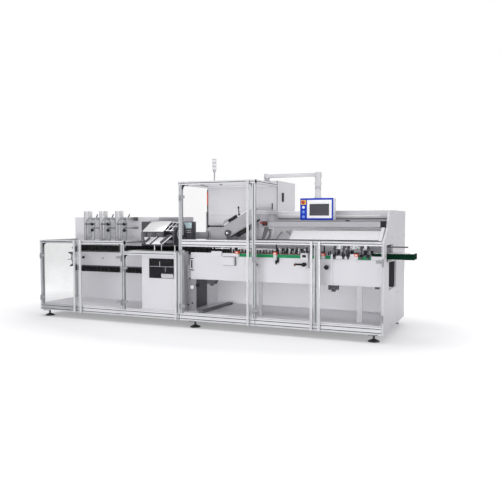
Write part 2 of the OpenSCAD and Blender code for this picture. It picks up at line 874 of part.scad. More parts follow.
module closing_unit(x, reach) {
    translate([x, apron_y, 0]) {
        block(-12, 12, -28, -12, guide_z + 4, guide_z + 30);
        rod_z(0, -19, guide_z + 29, closing_z + 40, 7);
        block(-11, 11, -28, reach, closing_z, closing_z + 18);
        rod_z(0, reach - 8, closing_z - 12, closing_z + 34, 6);
    }
}

module closing_units() {
    color("Black") row() {
        for (i = [0 : len(closing_xs) - 1]) closing_unit(closing_xs[i], i % 2 == 0 ? 42 : 62);
        block(x_end - 60, frame_l + 200, 240, 262, belt_z + 122, belt_z + 136);
        block(x_end - 60, x_end - 36, 261, tower_d, belt_z + 122, belt_z + 136);
        block(x_end - 105, x_end - 62, apron_y, apron_y + 40, apron_z - 22, apron_z);
        translate([tower_r - 30, 0, table_h]) {
            in_xz(250, 262)
                polygon([[0, 0], [30, 0], [90, 120], [80, beam_z - table_h], [40, beam_z - table_h]]);
            in_xz(290, 302) polygon([[52, 4], [96, 20], [106, 92], [76, 124], [84, 70]]);
            rod_y(76, 250, bucket_y + 62, 112, 9);
        }
    }
}

indicator_front = 56;
indicator_foot = 36;
indicator_top = 66;
indicator_x = [tower_x + 690, tower_r + 184, tower_r + 737, x_end - 295];

module position_indicators() {
    color("OrangeRed") row() for (x = indicator_x)
        block(x - 20, x + 20, apron_y - indicator_front, apron_y - 12,
            guide_z + indicator_foot, guide_z + indicator_top);
}

gearbox_h = 121;
bed_box_x = 499;
bed_box_l = 154;

module adjuster_boxes() {
    color("Gainsboro") row() {
        block(crank_x - 47, crank_x + 33, crank_y, apron_y, crank_z - 43, crank_z + gearbox_h);
        rod_y(crank_x, crank_y - 34, crank_y + 1, crank_z, 8);
        block(tower_x + bed_box_x, tower_x + bed_box_x + bed_box_l, apron_y - 60, apron_y,
            apron_h - 136, apron_h - 44);
        block(tower_x + 350, tower_x + 480, apron_y - 30, apron_y, guide_z + 2, guide_z + 58);
        for (x = indicator_x)
            block(x - 18, x + 18, apron_y - indicator_front + 4, apron_y - 12,
                guide_z + 4, guide_z + indicator_foot);
        block(tower_x + 66, tower_x + 106, apron_y - 24, apron_y, apron_h - 218, apron_h - 60);
    }
}

spindle_xs = [indicator_x[1] + 12, indicator_x[2] + 12];

module hand_knobs() {
    knob_z = apron_h - 124;
    handle_z = housing_h + 118;
    color("Black") row() {
        for (x = [tower_r + 782, tower_r - 54]) {
            rod_y(x, apron_y - 80, apron_y - 50, knob_z, 23);
            rod_y(x, apron_y - 51, apron_y, knob_z, 9);
        }
        each_magazine() {
            for (z = knob_zs) rod_y(knob_x, magazine_y0 - 40, magazine_y0 - 14, z, 13);
            translate([chute_x + magazine_w - chute_t, magazine_y0 + 30, chute_top]) {
                block(-3, 8, 0, 14, 0, 12);
                rotate([0, 25, 0]) block(-3, 3, 3, 11, 2, 42);
            }
        }
        for (x = spindle_xs) rod_z(x, apron_y - 30, guide_z + indicator_top, table_h - prof - 6, 7);
        block(tower_r, tower_r + 16, tower_d + 165, tower_d + 195, handle_z, handle_z + 110);
        block(x_end - 440, x_end - 400, beam_y + 30, beam_y + 70, beam_top, beam_top + 12);
    }
}

motor_left = 270;
motor_right = 783;
end_motor_y = 364;
end_motor_z = 640;

module drive_units() {
    y0 = apron_y + apron_t;
    color("DimGray") row() {
        for (x = [tower_x + motor_left, tower_r + motor_right]) {
            block(x, x + 104, y0, y0 + 60, apron_z - 52, apron_z + 30);
            rod_y(x + 52, y0 + 59, bucket_y - 6, apron_z - 14, 36);
        }
        block(x_end - 60, x_end - 32, end_motor_y + 32, end_motor_y + 66,
            end_motor_z + 50, end_motor_z + 120);
        rod_z(x_end - 46, end_motor_y, end_motor_z, belt_z - 60, 33);
    }
}

mag_x = tower_x + 502;
mag_z = table_h + 72;
mag_y = 300;
mag_back = mag_y + mag_w;
flange_h = 72;
flange_t = 6;

module mag_place() {
    translate([mag_x, 0, mag_z]) rotate([0, -mag_tilt, 0]) children();
}

// The beam with its side flanges, the arm that holds it and the feeder housing at its foot
module carton_magazine() {
    color("Gainsboro") row() {
        mag_place() {
            in_xz(mag_y, mag_back) stadium(mag_l, mag_r);
            for (y = [mag_y, mag_back - flange_t])
                block(0, mag_l, y, y + flange_t, mag_r - 8, mag_r + flange_h);
            rod_y(0, mag_y - 12, mag_y + 1, 0, 26);
            rod_y(0, mag_y - 20, mag_y - 11, 0, 12);
        }
        block(mag_x + 200, mag_x + 260, mag_back - 1, tower_d, mag_z + 104, mag_z + 140);
        in_xz(mag_back + 4, tower_d) {
            translate([mag_x - 300, mag_z - 85])
                polygon([[20, 0], [0, 170], [190, 170], [230, 100], [230, 0]]);
            translate([mag_x - 58, mag_z + 100]) circle(66);
            translate([mag_x - 112, mag_z - 10]) square([60, 110]);
        }
    }
}

module carton_belt() {
    color("Black") row() mag_place() {
        in_xz(mag_y + 10, mag_back - 10) difference() {
            loop(mag_l, mag_r + seat, mag_r + 5);
            translate([-mag_r, 0]) square([mag_l + 2 * mag_r, mag_r + 6]);
        }
        for (i = [0 : 3]) translate([70 + i * 26, 0, mag_r + flange_h])
            block(0, 10, mag_y - 8, mag_y + 22, 0, 34 - 4 * i);
        block(70, 200, mag_y - 8, mag_y, mag_r + flange_h - 14, mag_r + flange_h);
        translate([230, 0, mag_r + flange_h]) {
            block(-14, 14, mag_y - 8, mag_y + 8, 0, 12);
            rotate([0, 30, 0]) block(-8, 8, mag_y - 8, mag_y + 8, 6, 120);
            rotate([0, -25, 0]) block(-8, 8, mag_y - 8, mag_y + 8, 6, 76);
        }
    }
}

module hood_beam() {
    color("WhiteSmoke") row() {
        block(tower_r - prof, x_end - beam_cap, beam_y, beam_y + beam_d, beam_z, beam_top);
        for (x = [hood_x0 + 120, hood_x1 - 180]) {
            block(x, x + 24, hood_y, beam_y + 1, hood_z - 6, hood_z + 6);
            rod_x(x, x + 24, hood_y, hood_z, 7);
            rod_x(x + 23, x + 62, hood_y, hood_z, 4);
        }
    }
}

module hood() {
    color("White") row() difference() {
        union() {
            translate([0, hood_y, hood_z]) rotate([hood_tilt, 0, 0]) {
                block(hood_x0, hood_x1, -hood_l, -14, 4, 10);
                for (x = [hood_x0 + 120, hood_x1 - 180]) block(x + 25, x + 61, -60, 0, 2, 5);
            }
            for (x = [hood_x0 + 120, hood_x1 - 180]) rod_x(x + 25, x + 61, hood_y, hood_z, 7);
        }
        for (x = [hood_x0 + 120, hood_x1 - 180]) rod_x(x + 24, x + 64, hood_y, hood_z, 4 + run);
    }
}

// Two belts on edge grip the closed cartons
outfeed_ys = [apron_y + 10, apron_y + 150];
pulley_r = 32;
belt_t = 6;

module outfeed_place(y) {
    translate([outfeed_x0 + pulley_r, y + pulley_r, belt_z]) children();
}

module outfeed_belts() {
    l = outfeed_x1 - outfeed_x0 - 2 * pulley_r;
    color("SeaGreen") row() for (y = outfeed_ys) outfeed_place(y)
        linear_extrude(belt_h) loop(l, pulley_r - belt_t, pulley_r);
}

module outfeed_frames() {
    l = outfeed_x1 - outfeed_x0 - 2 * pulley_r;
    color("Silver") row() for (y = outfeed_ys) {
        outfeed_place(y) translate([0, 0, -4])
            linear_extrude(belt_h + 8) stadium(l, pulley_r - belt_t - seat);
        block(x_end - 60, x_end, y + 10, y + 54, belt_z - 54, belt_z - 3);
    }
}

module stack_light() {
    lamp_h = 46;
    color("WhiteSmoke") row() translate([tower_x + 65, 800, cabinet_h]) {
        cylinder(h = 160, r = 9);
        cylinder(h = 12, r = 26);
        translate([0, 0, 130]) cylinder(h = 40, r1 = 10, r2 = 24);
        for (i = [0 : 2]) translate([0, 0, 168 + i * lamp_h]) {
            cylinder(h = lamp_h, r = 22);
            translate([0, 0, 4]) cylinder(h = lamp_h - 4, r = 26);
        }
    }
}

module panel_arm_base() {
    color("Gray") row() {
        block(tower_r - prof, tower_r, arm_y - 60, arm_y + 60, tower_h, tower_h + 10);
        rod_z(arm_x, arm_y, tower_h, arm_top - arm_h - 0.5, 28);
        rod_z(arm_x, arm_y, tower_h, arm_top - 14, 15);
    }
}

module panel_arm() {
    z0 = arm_top - arm_h;
    color("Gainsboro") row() {
        difference() {
            union() {
                rod_z(arm_x, arm_y, z0, arm_top, 36);
                block(arm_x, drop_x, arm_y - 24, arm_y + 24, z0 + 8, arm_top - 6);
                rod_z(drop_x, arm_y, z0 - 6, arm_top, 40);
                rod_z(drop_x, arm_y, swivel_z, z0 - 5, drop_r);
                rod_z(drop_x, arm_y, swivel_z, swivel_z + 30, drop_r + 5);
            }
            rod_z(arm_x, arm_y, z0 - 1, arm_top - 12, 15 + run);
        }
        rod_z(drop_x, arm_y, swivel_z - 60, swivel_z + 1, 15);
    }
}

module operator_panel() {
    top = hmi_z + hmi_h;
    color("RoyalBlue") row() difference() {
        union() {
            block(drop_x - hmi_w / 2, drop_x + hmi_w / 2, arm_y - hmi_d / 2, arm_y + hmi_d / 2, hmi_z, top);
            rod_z(drop_x, arm_y, top - 1, swivel_z - 0.5, drop_r);
        }
        rod_z(drop_x, arm_y, swivel_z - 62, swivel_z + 1, 15 + run);
    }
}

module operator_screen() {
    x0 = drop_x - hmi_w / 2;
    y = arm_y - hmi_d / 2;
    color("DarkSlateGray") row() block(x0 + 83, x0 + hmi_w - 15, y - 6, y, hmi_z + 21, hmi_z + hmi_h - 21);
}

module crank() {
    color("Black") row() difference() {
        union() {
            rod_y(crank_x, crank_y - 40, crank_y - 0.5, crank_z, 22);
            block(crank_x - 86, crank_x, crank_y - 40, crank_y - 26, crank_z - 10, crank_z + 10);
            rod_y(crank_x - 86, crank_y - 85, crank_y - 26, crank_z, 12);
        }
        rod_y(crank_x, crank_y - 35, crank_y + 1, crank_z, 8 + run);
    }
}

levelling_feet();
cross_rails();
long_rails();
floor_trays();
guard_posts();
profile_fittings();
door_hinges();
fixed_panes();
infeed_cabinet();
lower_cabinet();
rear_housing();
tower_cabinet();
end_panel();
bucket_frame();
bucket_chain();
bucket_flights();
support_brackets();
magazine_uprights();
magazine_chutes();
magazine_clamps();
hand_knobs();
folder_housing();
folder_window();
folder_table();
leaflet_folder();
folder_rollers();
folder_backboard();
bed_apron();
bed_deck();
carton_chain();
carton_lugs();
guide_rails();
closing_units();
position_indicators();
adjuster_boxes();
drive_units();
carton_magazine();
carton_belt();
hood_beam();
hood();
outfeed_belts();
outfeed_frames();
stack_light();
panel_arm_base();
panel_arm();
operator_panel();
operator_screen();
crank();
infeed_door_left();
infeed_door_left_fittings();
infeed_door_right();
infeed_door_right_fittings();
folder_door();
folder_door_fittings();
tower_door();
tower_door_fittings();
bed_door_left();
bed_door_left_fittings();
bed_door_right();
bed_door_right_fittings();
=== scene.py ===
"""Looks of the automatic cartoner: finishes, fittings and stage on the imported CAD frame."""

import math

import bpy
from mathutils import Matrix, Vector


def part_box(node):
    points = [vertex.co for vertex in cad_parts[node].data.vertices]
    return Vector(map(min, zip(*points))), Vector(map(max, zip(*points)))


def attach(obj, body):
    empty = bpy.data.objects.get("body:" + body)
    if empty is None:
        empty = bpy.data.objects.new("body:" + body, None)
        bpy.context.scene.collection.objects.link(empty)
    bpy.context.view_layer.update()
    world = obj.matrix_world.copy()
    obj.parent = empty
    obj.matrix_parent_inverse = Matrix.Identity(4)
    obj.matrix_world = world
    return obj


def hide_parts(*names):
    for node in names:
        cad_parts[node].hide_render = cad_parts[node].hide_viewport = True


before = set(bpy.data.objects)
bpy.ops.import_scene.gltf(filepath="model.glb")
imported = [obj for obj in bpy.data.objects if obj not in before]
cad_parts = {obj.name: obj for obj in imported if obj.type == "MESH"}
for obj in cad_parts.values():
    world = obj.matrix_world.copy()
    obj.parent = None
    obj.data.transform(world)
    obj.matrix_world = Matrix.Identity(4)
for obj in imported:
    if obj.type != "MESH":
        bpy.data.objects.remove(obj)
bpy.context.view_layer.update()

bl_info = {
    "name": "Automatic cartoner",
    "version": (1, 0, 0),
    "blender": (4, 5, 0),
    "location": "3D View > Sidebar > Cartoner",
    "description": "Finishes, fittings and stage of an automatic cartoner",
    "category": "Object",
}

# The infeed end and the guard front. Up to the stage, sizes and places are in millimetres: along the
# machine from the infeed end, back from the guard front, and up from the floor.
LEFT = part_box("cross_rails")[0].x
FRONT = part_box("guard_posts")[0].y
MM = 0.001
ORIGIN = Vector()

# Faces that meet at less than this angle, in degrees, are smoothed into each other
SMOOTH_ANGLE = 35

# Turns that point an upright turned shape in another direction
TURNS = {
    "up": (0, 0, 0),
    "down": (math.pi, 0, 0),
    "front": (math.pi / 2, 0, 0),
    "right": (0, math.pi / 2, 0),
    "back": (-math.pi / 2, 0, 0),
    "left": (0, -math.pi / 2, 0),
}


def spot(x, y, z):
    """A place from its distances to the infeed end, the guard front and the floor."""
    return Vector((LEFT + x * MM, FRONT + y * MM, z * MM))


def near(x, y, z):
    """A place near the origin, for a shape that is put in its own place later."""
    return Vector((x, y, z)) * MM


def reach(node):
    """A CAD node's lowest and highest corners as distances from the infeed end, guard front and floor."""
    return [(corner - Vector((LEFT, FRONT, 0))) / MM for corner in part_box(node)]


def linear(code):
    """An sRGB hex colour as linear red, green and blue."""
    parts = [int(code[i : i + 2], 16) / 255 for i in (1, 3, 5)]
    return tuple(p / 12.92 if p <= 0.04045 else ((p + 0.055) / 1.055) ** 2.4 for p in parts)


def add(tree, kind, settings=None, inputs=None):
    """Adds a node, sets its settings, and sets its inputs or links them where a socket is given."""
    node = tree.nodes.new(kind)
    for name, value in (settings or {}).items():
        setattr(node, name, value)
    for name, value in (inputs or {}).items():
        if isinstance(value, bpy.types.NodeSocket):
            tree.links.new(value, node.inputs[name])
        else:
            node.inputs[name].default_value = value
    return node


# Modelling


def deselect():
    """Clears the selection, because an operator acts on all that is selected."""
    bpy.ops.object.select_all(action="DESELECT")


def hold(piece):
    """Makes a piece the only one selected."""
    deselect()
    piece.select_set(True)
    bpy.context.view_layer.objects.active = piece


def apply_place():
    """Puts the held piece's place, turn and scale into its mesh, and returns the piece."""
    bpy.ops.object.transform_apply(location=True, rotation=True, scale=True)
    return bpy.context.object


def open_edit():
    """Enters edit mode with everything selected."""
    bpy.ops.object.mode_set(mode="EDIT")
    bpy.ops.mesh.select_all(action="SELECT")


def close_edit():
    """Leaves edit mode."""
    bpy.ops.object.mode_set(mode="OBJECT")


def pick(piece, kind, test):
    """Opens edit mode on a piece with just the faces or the points selected that pass a test."""
    hold(piece)
    bpy.context.tool_settings.mesh_select_mode = (kind == "points", False, kind == "faces")
    bpy.ops.object.mode_set(mode="EDIT")
    bpy.ops.mesh.select_all(action="DESELECT")
    close_edit()
    for item in piece.data.polygons if kind == "faces" else piece.data.vertices:
        item.select = test(item)
    bpy.ops.object.mode_set(mode="EDIT")


def shift_picked(x, y, z):
    """Moves what is selected, and leaves edit mode."""
    bpy.ops.transform.translate(value=near(x, y, z))
    close_edit()


def sunk(piece, facing, rim, slope, depth):
    """Sinks the front or back of a piece inside a rim."""
    way = {"front": -1, "back": 1}[facing]
    pick(piece, "faces", lambda face: face.normal.y * way > 0.99)
    bpy.ops.mesh.inset(thickness=rim * MM, depth=0)
    bpy.ops.mesh.inset(thickness=slope * MM, depth=-depth * MM)
    close_edit()
    return piece


def slab(low, high, edge, segments=2):
    """A block between two corners with its edges rounded."""
    deselect()
    bpy.ops.mesh.primitive_cube_add(size=1, location=(low + high) / 2)
    bpy.context.object.scale = high - low
    piece = apply_place()
    open_edit()
    bpy.ops.mesh.bevel(offset=edge * MM, segments=segments, affect="EDGES")
    close_edit()
    return piece


def block(x0, x1, y0, y1, z0, z1, edge=2):
    """A rounded block in its place on the machine."""
    return slab(spot(x0, y0, z0), spot(x1, y1, z1), edge)


def blocks(rows, *edge):
    """One piece made of rounded blocks. A row gives a block's limits, and its edge if that isn't given for all."""
    return joined([block(*row, *edge) for row in rows])


def loose(x0, x1, y0, y1, z0, z1, edge=2, segments=2):
    """A rounded block near the origin, to be leaned or repeated."""
    return slab(near(x0, y0, z0), near(x1, y1, z1), edge, segments)


def turned(steps, place=ORIGIN, facing="up", sides=24):
    """A turned shape: a disc drawn out through (radius, height) steps, then turned and put in place."""
    deselect()
    radius, height = steps[0]
    bpy.ops.mesh.primitive_circle_add(vertices=sides, radius=radius * MM, fill_type="NGON")
    piece = bpy.context.object
    open_edit()
    bpy.ops.transform.translate(value=near(0, 0, height))
    for wide, high in steps[1:]:
        bpy.ops.mesh.extrude_region_move(TRANSFORM_OT_translate={"value": near(0, 0, high - height)})
        grow = wide / radius
        bpy.ops.transform.resize(value=(grow, grow, 1), center_override=near(0, 0, high))
        radius, height = wide, high
    bpy.ops.mesh.select_all(action="SELECT")
    bpy.ops.mesh.normals_make_consistent(inside=False)
    close_edit()
    piece.rotation_euler = TURNS[facing]
    piece.location = place
    return apply_place()


def rod(length, radius, facing="up", sides=16, place=ORIGIN):
    """A round bar with a small chamfer at both ends."""
    cut = min(radius * 0.25, 2)
    return turned([(radius - cut, 0), (radius, cut), (radius, length - cut), (radius - cut, length)],
                  place, facing, sides)


def ring(radius, thick, sides, round_sides, facing, place=ORIGIN):
    """A ring of round section."""
    deselect()
    bpy.ops.mesh.primitive_torus_add(
        major_radius=radius * MM, minor_radius=thick * MM, major_segments=sides, minor_segments=round_sides,
        rotation=TURNS[facing], location=place)
    return apply_place()


def leaned(piece, axis, degrees, place=ORIGIN):
    """Turns a piece that was modelled near the origin about an axis, and puts it in place."""
    hold(piece)
    piece.rotation_euler["XYZ".index(axis)] = math.radians(degrees)
    piece.location = place
    return apply_place()


def joined(pieces):
    """One piece made of several."""
    hold(pieces[0])
    for piece in pieces[1:]:
        piece.select_set(True)
    if len(pieces) > 1:
        bpy.ops.object.join()
    return pieces[0]


def repeated(shape, places):
    """One piece made of copies of a shape that was modelled near the origin, a copy at each place."""
    copies = []
    for place in places:
        hold(shape)
        bpy.ops.object.duplicate()
        bpy.context.object.location = spot(*place)
        copies.append(apply_place())
    hold(shape)
    bpy.ops.object.delete()
    return joined(copies)


def screw_heads(radius, places, facing):
    """Socket screws: a round head with a hole in it, one at each place."""
    steps = ((1, 0), (1, 0.7), (0.85, 0.9), (0.5, 0.9), (0.5, 0.4))
    return repeated(turned([(radius * r, radius * h) for r, h in steps], ORIGIN, facing, 12), places)


def fit(name, piece, slot, finish="", body="machine"):
    """Joins a list of parts, names the piece, smooths it, gives it a finish or else its slot's own, and lets
    it ride on a body."""
    piece = joined(piece) if isinstance(piece, list) else piece
    hold(piece)
    bpy.ops.object.shade_smooth_by_angle(angle=math.radians(SMOOTH_ANGLE))
    piece.name = piece.data.name = name
    piece.data.materials.clear()
    piece.data.materials.append(bpy.data.materials[finish or SLOT_FINISH[slot]])
    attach(piece, body)
    return piece


def fit_blocks(table):
    """Makes the pieces of a table of plain blocks: name, slot, finish if not the slot's own, and the blocks."""
    for name, slot, finish, *rows in table:
        fit(name, blocks(rows), slot, finish)


# Finishes


def blank(name):
    """A material without nodes, its tree, and a node for the object's own coordinates."""
    material = bpy.data.materials.new(name)
    material.use_nodes = True
    tree = material.node_tree
    tree.nodes.clear()
    return material, tree, add(tree, "ShaderNodeTexCoord").outputs["Object"]


def varied(tree, pattern, colour, uneven, rough, change, inputs):
    """Completes a surface whose colour and roughness drift as a pattern does, whose values lie near 0.5."""
    spread = {"Value": pattern.outputs["Fac"], "From Min": 0.3, "From Max": 0.7}
    tint = add(tree, "ShaderNodeMapRange", None, {**spread, "To Min": 1 - uneven, "To Max": 1 + uneven})
    mixed = add(tree, "ShaderNodeVectorMath", {"operation": "SCALE"}, {
        0: tuple(colour)[:3], "Scale": tint.outputs["Result"]})
    dull = add(tree, "ShaderNodeMapRange", None, {**spread, "To Min": rough - change, "To Max": rough + change})
    shader = add(tree, "ShaderNodeBsdfPrincipled", None, {
        "Base Color": mixed.outputs["Vector"], "Roughness": dull.outputs["Result"], **inputs})
    add(tree, "ShaderNodeOutputMaterial", None, {"Surface": shader.outputs["BSDF"]})


def coated(name, colour, rough, patch, grain, depth, uneven=0.06, gloss=0.5):
    """A coated or moulded surface: the colour drifts over broad patches and a fine grain takes the light."""
    _, tree, place = blank(name)
    patches = add(tree, "ShaderNodeTexNoise", None, {
        "Vector": place, "Scale": 1 / (patch * MM), "Detail": 4.0, "Roughness": 0.6})
    grains = add(tree, "ShaderNodeTexNoise", None, {
        "Vector": place, "Scale": 1 / (grain * MM), "Detail": 2.0})
    bump = add(tree, "ShaderNodeBump", None, {
        "Height": grains.outputs["Fac"], "Strength": 0.35, "Distance": depth * MM})
    varied(tree, patches, colour, uneven, rough, 0.06, {
        "Normal": bump.outputs["Normal"], "Specular IOR Level": gloss})


def drawn(name, colour, rough, line, run, along, metallic, uneven):
    """A drawn or brushed metal: fine lines that run one way vary its colour and its gloss."""
    _, tree, place = blank(name)
    scale = [1 / ((run if axis in along else line) * MM) for axis in "XYZ"]
    lined = add(tree, "ShaderNodeMapping", None, {"Vector": place, "Scale": scale})
    lines = add(tree, "ShaderNodeTexNoise", None, {
        "Vector": lined.outputs["Vector"], "Scale": 1.0, "Detail": 3.0})
    bump = add(tree, "ShaderNodeBump", None, {
        "Height": lines.outputs["Fac"], "Strength": 0.12, "Distance": 0.5 * MM})
    varied(tree, lines, colour, uneven, rough, 0.07, {
        "Normal": bump.outputs["Normal"], "Metallic": metallic})


def clear_sheet(name, colour, alpha, rough, haze):
    """A clear plastic sheet: almost all of what is behind shows, under a faint and uneven veil."""
    _, tree, place = blank(name)
    clouds = add(tree, "ShaderNodeTexNoise", None, {
        "Vector": place, "Scale": 1 / (haze * MM), "Detail": 3.0})
    veil = add(tree, "ShaderNodeMapRange", None, {
        "Value": clouds.outputs["Fac"], "From Min": 0.3, "From Max": 0.7,
        "To Min": alpha * 0.8, "To Max": alpha * 1.2})
    shader = add(tree, "ShaderNodeBsdfPrincipled", None, {
        "Base Color": (*tuple(colour)[:3], 1.0), "Roughness": rough, "IOR": 1.49,
        "Alpha": veil.outputs["Result"]})
    add(tree, "ShaderNodeOutputMaterial", None, {"Surface": shader.outputs["BSDF"]})


def woven_belt(name, colour, weave_size):
    """Belt with a woven face, whose weave is drawn coarser than the real 1 mm so that it shows."""
    _, tree, place = blank(name)
    light, dark = ((*[c * share for c in tuple(colour)[:3]], 1) for share in (1, 0.7))
    weave = add(tree, "ShaderNodeTexChecker", None, {
        "Vector": place, "Scale": 1 / (weave_size * MM), "Color1": light, "Color2": dark})
    bump = add(tree, "ShaderNodeBump", None, {
        "Height": weave.outputs["Fac"], "Strength": 0.3, "Distance": 0.5 * MM})
    shader = add(tree, "ShaderNodeBsdfPrincipled", None, {
        "Base Color": weave.outputs["Color"], "Roughness": 0.55, "Specular IOR Level": 0.05,
        "Normal": bump.outputs["Normal"]})
    add(tree, "ShaderNodeOutputMaterial", None, {"Surface": shader.outputs["BSDF"]})


def colour_of(finish, code):
    """A colour property for a finish, with its default from an sRGB hex value."""
    words = finish.replace("_", " ")
    return bpy.props.FloatVectorProperty(
        name=words.capitalize(), description="Colour of the " + words, subtype="COLOR", size=3, min=0, max=1,
        default=linear(code))


def length_of(name, description, metres, least):
    """A length property."""
    return bpy.props.FloatProperty(name=name, description=description, default=metres, min=least, unit="LENGTH")


def power_of(name, description, watts):
    """A property for a lamp's power."""
    return bpy.props.FloatProperty(name=name, description=description, default=watts, min=0, unit="POWER")


class CartonerFittings(bpy.types.PropertyGroup):
    """Sizes of the small fittings."""

    screw: length_of("Screw head", "Radius of a frame screw's head", 0.005, 0.002)
    bar: length_of("Handle bar", "Width of a door's handle bar", 0.022, 0.01)
    link: length_of("Chain link", "Pitch of the bucket chain's links", 0.06, 0.02)
    louvre: length_of("Louvre pitch", "Spacing of the cabinet's louvres", 0.024, 0.01)


class CartonerStage(bpy.types.PropertyGroup):
    """Lamps and room light of the stage."""

    key: power_of("Key lamp", "Power of the large lamp in front", 140)
    low: power_of("Low lamp", "Power of the lamp that lights the walls under the bed", 235)
    side: power_of("Side lamp", "Power of the lamp at the outfeed end", 250)
    top: power_of("Top lamp", "Power of the lamp overhead", 160)
    back: power_of("Back lamp", "Power of the lamp behind", 220)
    sky: bpy.props.FloatProperty(
        name="Room light", description="Strength of the even light from all round", default=0.45, min=0)


# Coated and moulded finishes: colour, roughness, sizes of patches, grain and grain depth, unevenness, gloss
COATED = {
    # Powder coat, sprayed and baked: an even satin grey with a faint orange peel, whose 1.5 mm
    # dimples are drawn at 12 mm so that they show
    "powder_coat": ("#d6d5da", 0.42, 420, 12, 0.15, 0.025),
    # The same coat a shade darker, as painted shade on the rear housing; the hood's sheets use it too
    "housing_paint": ("#c2c1c6", 0.42, 500, 12, 0.15, 0.03),
    # The wall under the bed is lighter than the cabinets as painted light in its shade, and the end panel darker as
    # painted shade
    "wall_paint": ("#f0eff3", 0.42, 420, 12, 0.15, 0.025),
    "end_paint": ("#bfbec3", 0.42, 420, 12, 0.15, 0.03),
    # Paint on the walked and wiped floor trays: duller, with broad cleaning marks, and lighter than its own grey as
    # painted light
    "tray_paint": ("#e8e7ec", 0.38, 260, 14, 0.2, 0.05),
    # Paint on plates and brackets: plain greys with a dull, slightly uneven face
    "plate_paint": ("#c4c3c8", 0.38, 180, 10, 0.12, 0.05),
    "bracket_paint": ("#a9a8ad", 0.45, 120, 10, 0.15, 0.07),
    # Graphite paint on boards and shields: dark and matt
    "graphite_paint": ("#66656a", 0.5, 150, 10, 0.15, 0.08, 0.3),
    "board_paint": ("#4b4a4f", 0.5, 150, 10, 0.15, 0.08, 0.3),
    # Paint over rough castings: dark, with a coarse skin
    "cast_motor_paint": ("#45454a", 0.5, 60, 6, 0.4, 0.12),
    # Hammered grey of the carton magazine and its feeder, made darker as painted shade
    "magazine_paint": ("#a6a5aa", 0.4, 90, 8, 0.2, 0.07),
    # Paint on die-cast hinges and trims: a smooth mid grey
    "hinge_paint": ("#8e8e93", 0.45, 60, 8, 0.1, 0.06),
    # Enamel: smooth, with a soft gloss
    "arm_enamel": ("#c2c2c5", 0.35, 200, 10, 0.08, 0.04),
    "white_enamel": ("#e4e4e6", 0.3, 300, 12, 0.08, 0.03),
    # Glass-filled nylon, moulded: near black with a dull sheen and a spark-eroded grain
    "black_nylon": ("#161618", 0.55, 40, 4, 0.3, 0.25, 0.3),
    # Rubber, extruded: dark grey and dull. It also stands as painted shade in the profile slots and behind the end
    # panel's opening
    "slot_rubber": ("#37373b", 0.6, 60, 5, 0.1, 0.12, 0.3),
    # Polyamide, moulded: strong plain colours with a soft sheen
    "orange_polyamide": ("#d9542b", 0.4, 30, 4, 0.2, 0.08),
    "red_polyamide": ("#a8322a", 0.4, 30, 4, 0.2, 0.08),
    "yellow_polyamide": ("#e5b021", 0.4, 30, 4, 0.2, 0.06),
    # Phenolic resin, pressed: dark brown and smooth
    "brown_phenolic": ("#5a2a26", 0.35, 30, 4, 0.1, 0.10),
    # Polycarbonate, moulded: milky white with some gloss
    "lamp_polycarbonate": ("#d2d2d5", 0.3, 40, 6, 0.05, 0.05),
    # Polyethylene, extruded: waxy green with slow changes along its length
    "green_polyethylene": ("#0f8250", 0.4, 90, 8, 0.1, 0.06, 0.25),
    # Polyester, printed and moulded: smooth blues, deep on the frame and pale on the keys
    "blue_polyester": ("#1439ad", 0.35, 120, 6, 0.05, 0.05, 0.25),
    "panel_key": ("#6f8fd8", 0.3, 40, 6, 0.05, 0.05),
    # Screens, windows and the sawn edges of clear sheets
    "smoked_acrylic": ("#1f1e22", 0.15, 200, 20, 0.02, 0.12, 0.08),
    "screen_glass": ("#47474d", 0.15, 150, 20, 0.02, 0.05, 0.2),
    # The display's teal is paler than the screen is: painted light, so that it shows where it sits in shade
    "teal_display": ("#c4dae1", 0.15, 60, 10, 0.02, 0.08),
    "acrylic_edge": ("#46494e", 0.25, 40, 6, 0.05, 0.15),
    "pane_edge": ("#cdd1d4", 0.2, 60, 8, 0.03, 0.06),
}

# Drawn and brushed metals: colour, roughness, width and length of the lines, their way, metal share, unevenness
DRAWN = {
    # Anodised aluminium, extruded: pale satin metal with faint draw lines
    "anodised_aluminium": ("#c0c1c4", 0.42, 3, 600, "XZ", 0.3, 0.05),
    "rail_aluminium": ("#d9d9dd", 0.42, 3, 600, "XZ", 0.25, 0.04),
    "beam_aluminium": ("#a3a3a8", 0.34, 3, 700, "X", 0.6, 0.05),
    "satin_aluminium": ("#eeeef0", 0.3, 3, 500, "Z", 0.55, 0.04),
    # Zinc-plated and blackened steel: dull metal with short streaks
    "zinc_plated_steel": ("#b9babd", 0.35, 4, 60, "Z", 0.9, 0.10),
    "blackened_steel": ("#4a4a4c", 0.45, 5, 30, "Z", 0.6, 0.15),
    # Steel bar, ground and polished: bright, with sharp reflections
    "polished_steel": ("#e6e6e8", 0.16, 3, 120, "X", 1.0, 0.05),
    # Stainless sheet, brushed along the machine: bright with streaks
    "brushed_stainless": ("#d8d8da", 0.27, 2.5, 260, "X", 1.0, 0.08),
    # Stainless made dark as painted shade, on the folder's body, the chain links and the magazine hub
    "shaded_stainless": ("#55555a", 0.3, 2.5, 200, "X", 0.7, 0.14),
}

# Clear sheets, extruded: colour of the veil, its strength, roughness and size of the haze. The left infeed pane
# and the chutes show more of the veil.
CLEAR = {
    "clear_polycarbonate": ("#565a5e", 0.02, 0.08, 300),
    "worn_polycarbonate": ("#565a5e", 0.15, 0.1, 300),
    # The hood's veil is white: a painted reflection on the sheet
    "hood_polycarbonate": ("#f0f0f0", 0.04, 0.12, 900),
    "chute_acrylic": ("#e6e8ea", 0.22, 0.08, 200),
}

# Woven belts: colour and size of the weave
# The belt's dark green is darkened further as painted shade on its shaded face
WOVEN = {"woven_belt": ("#032819", 6)}

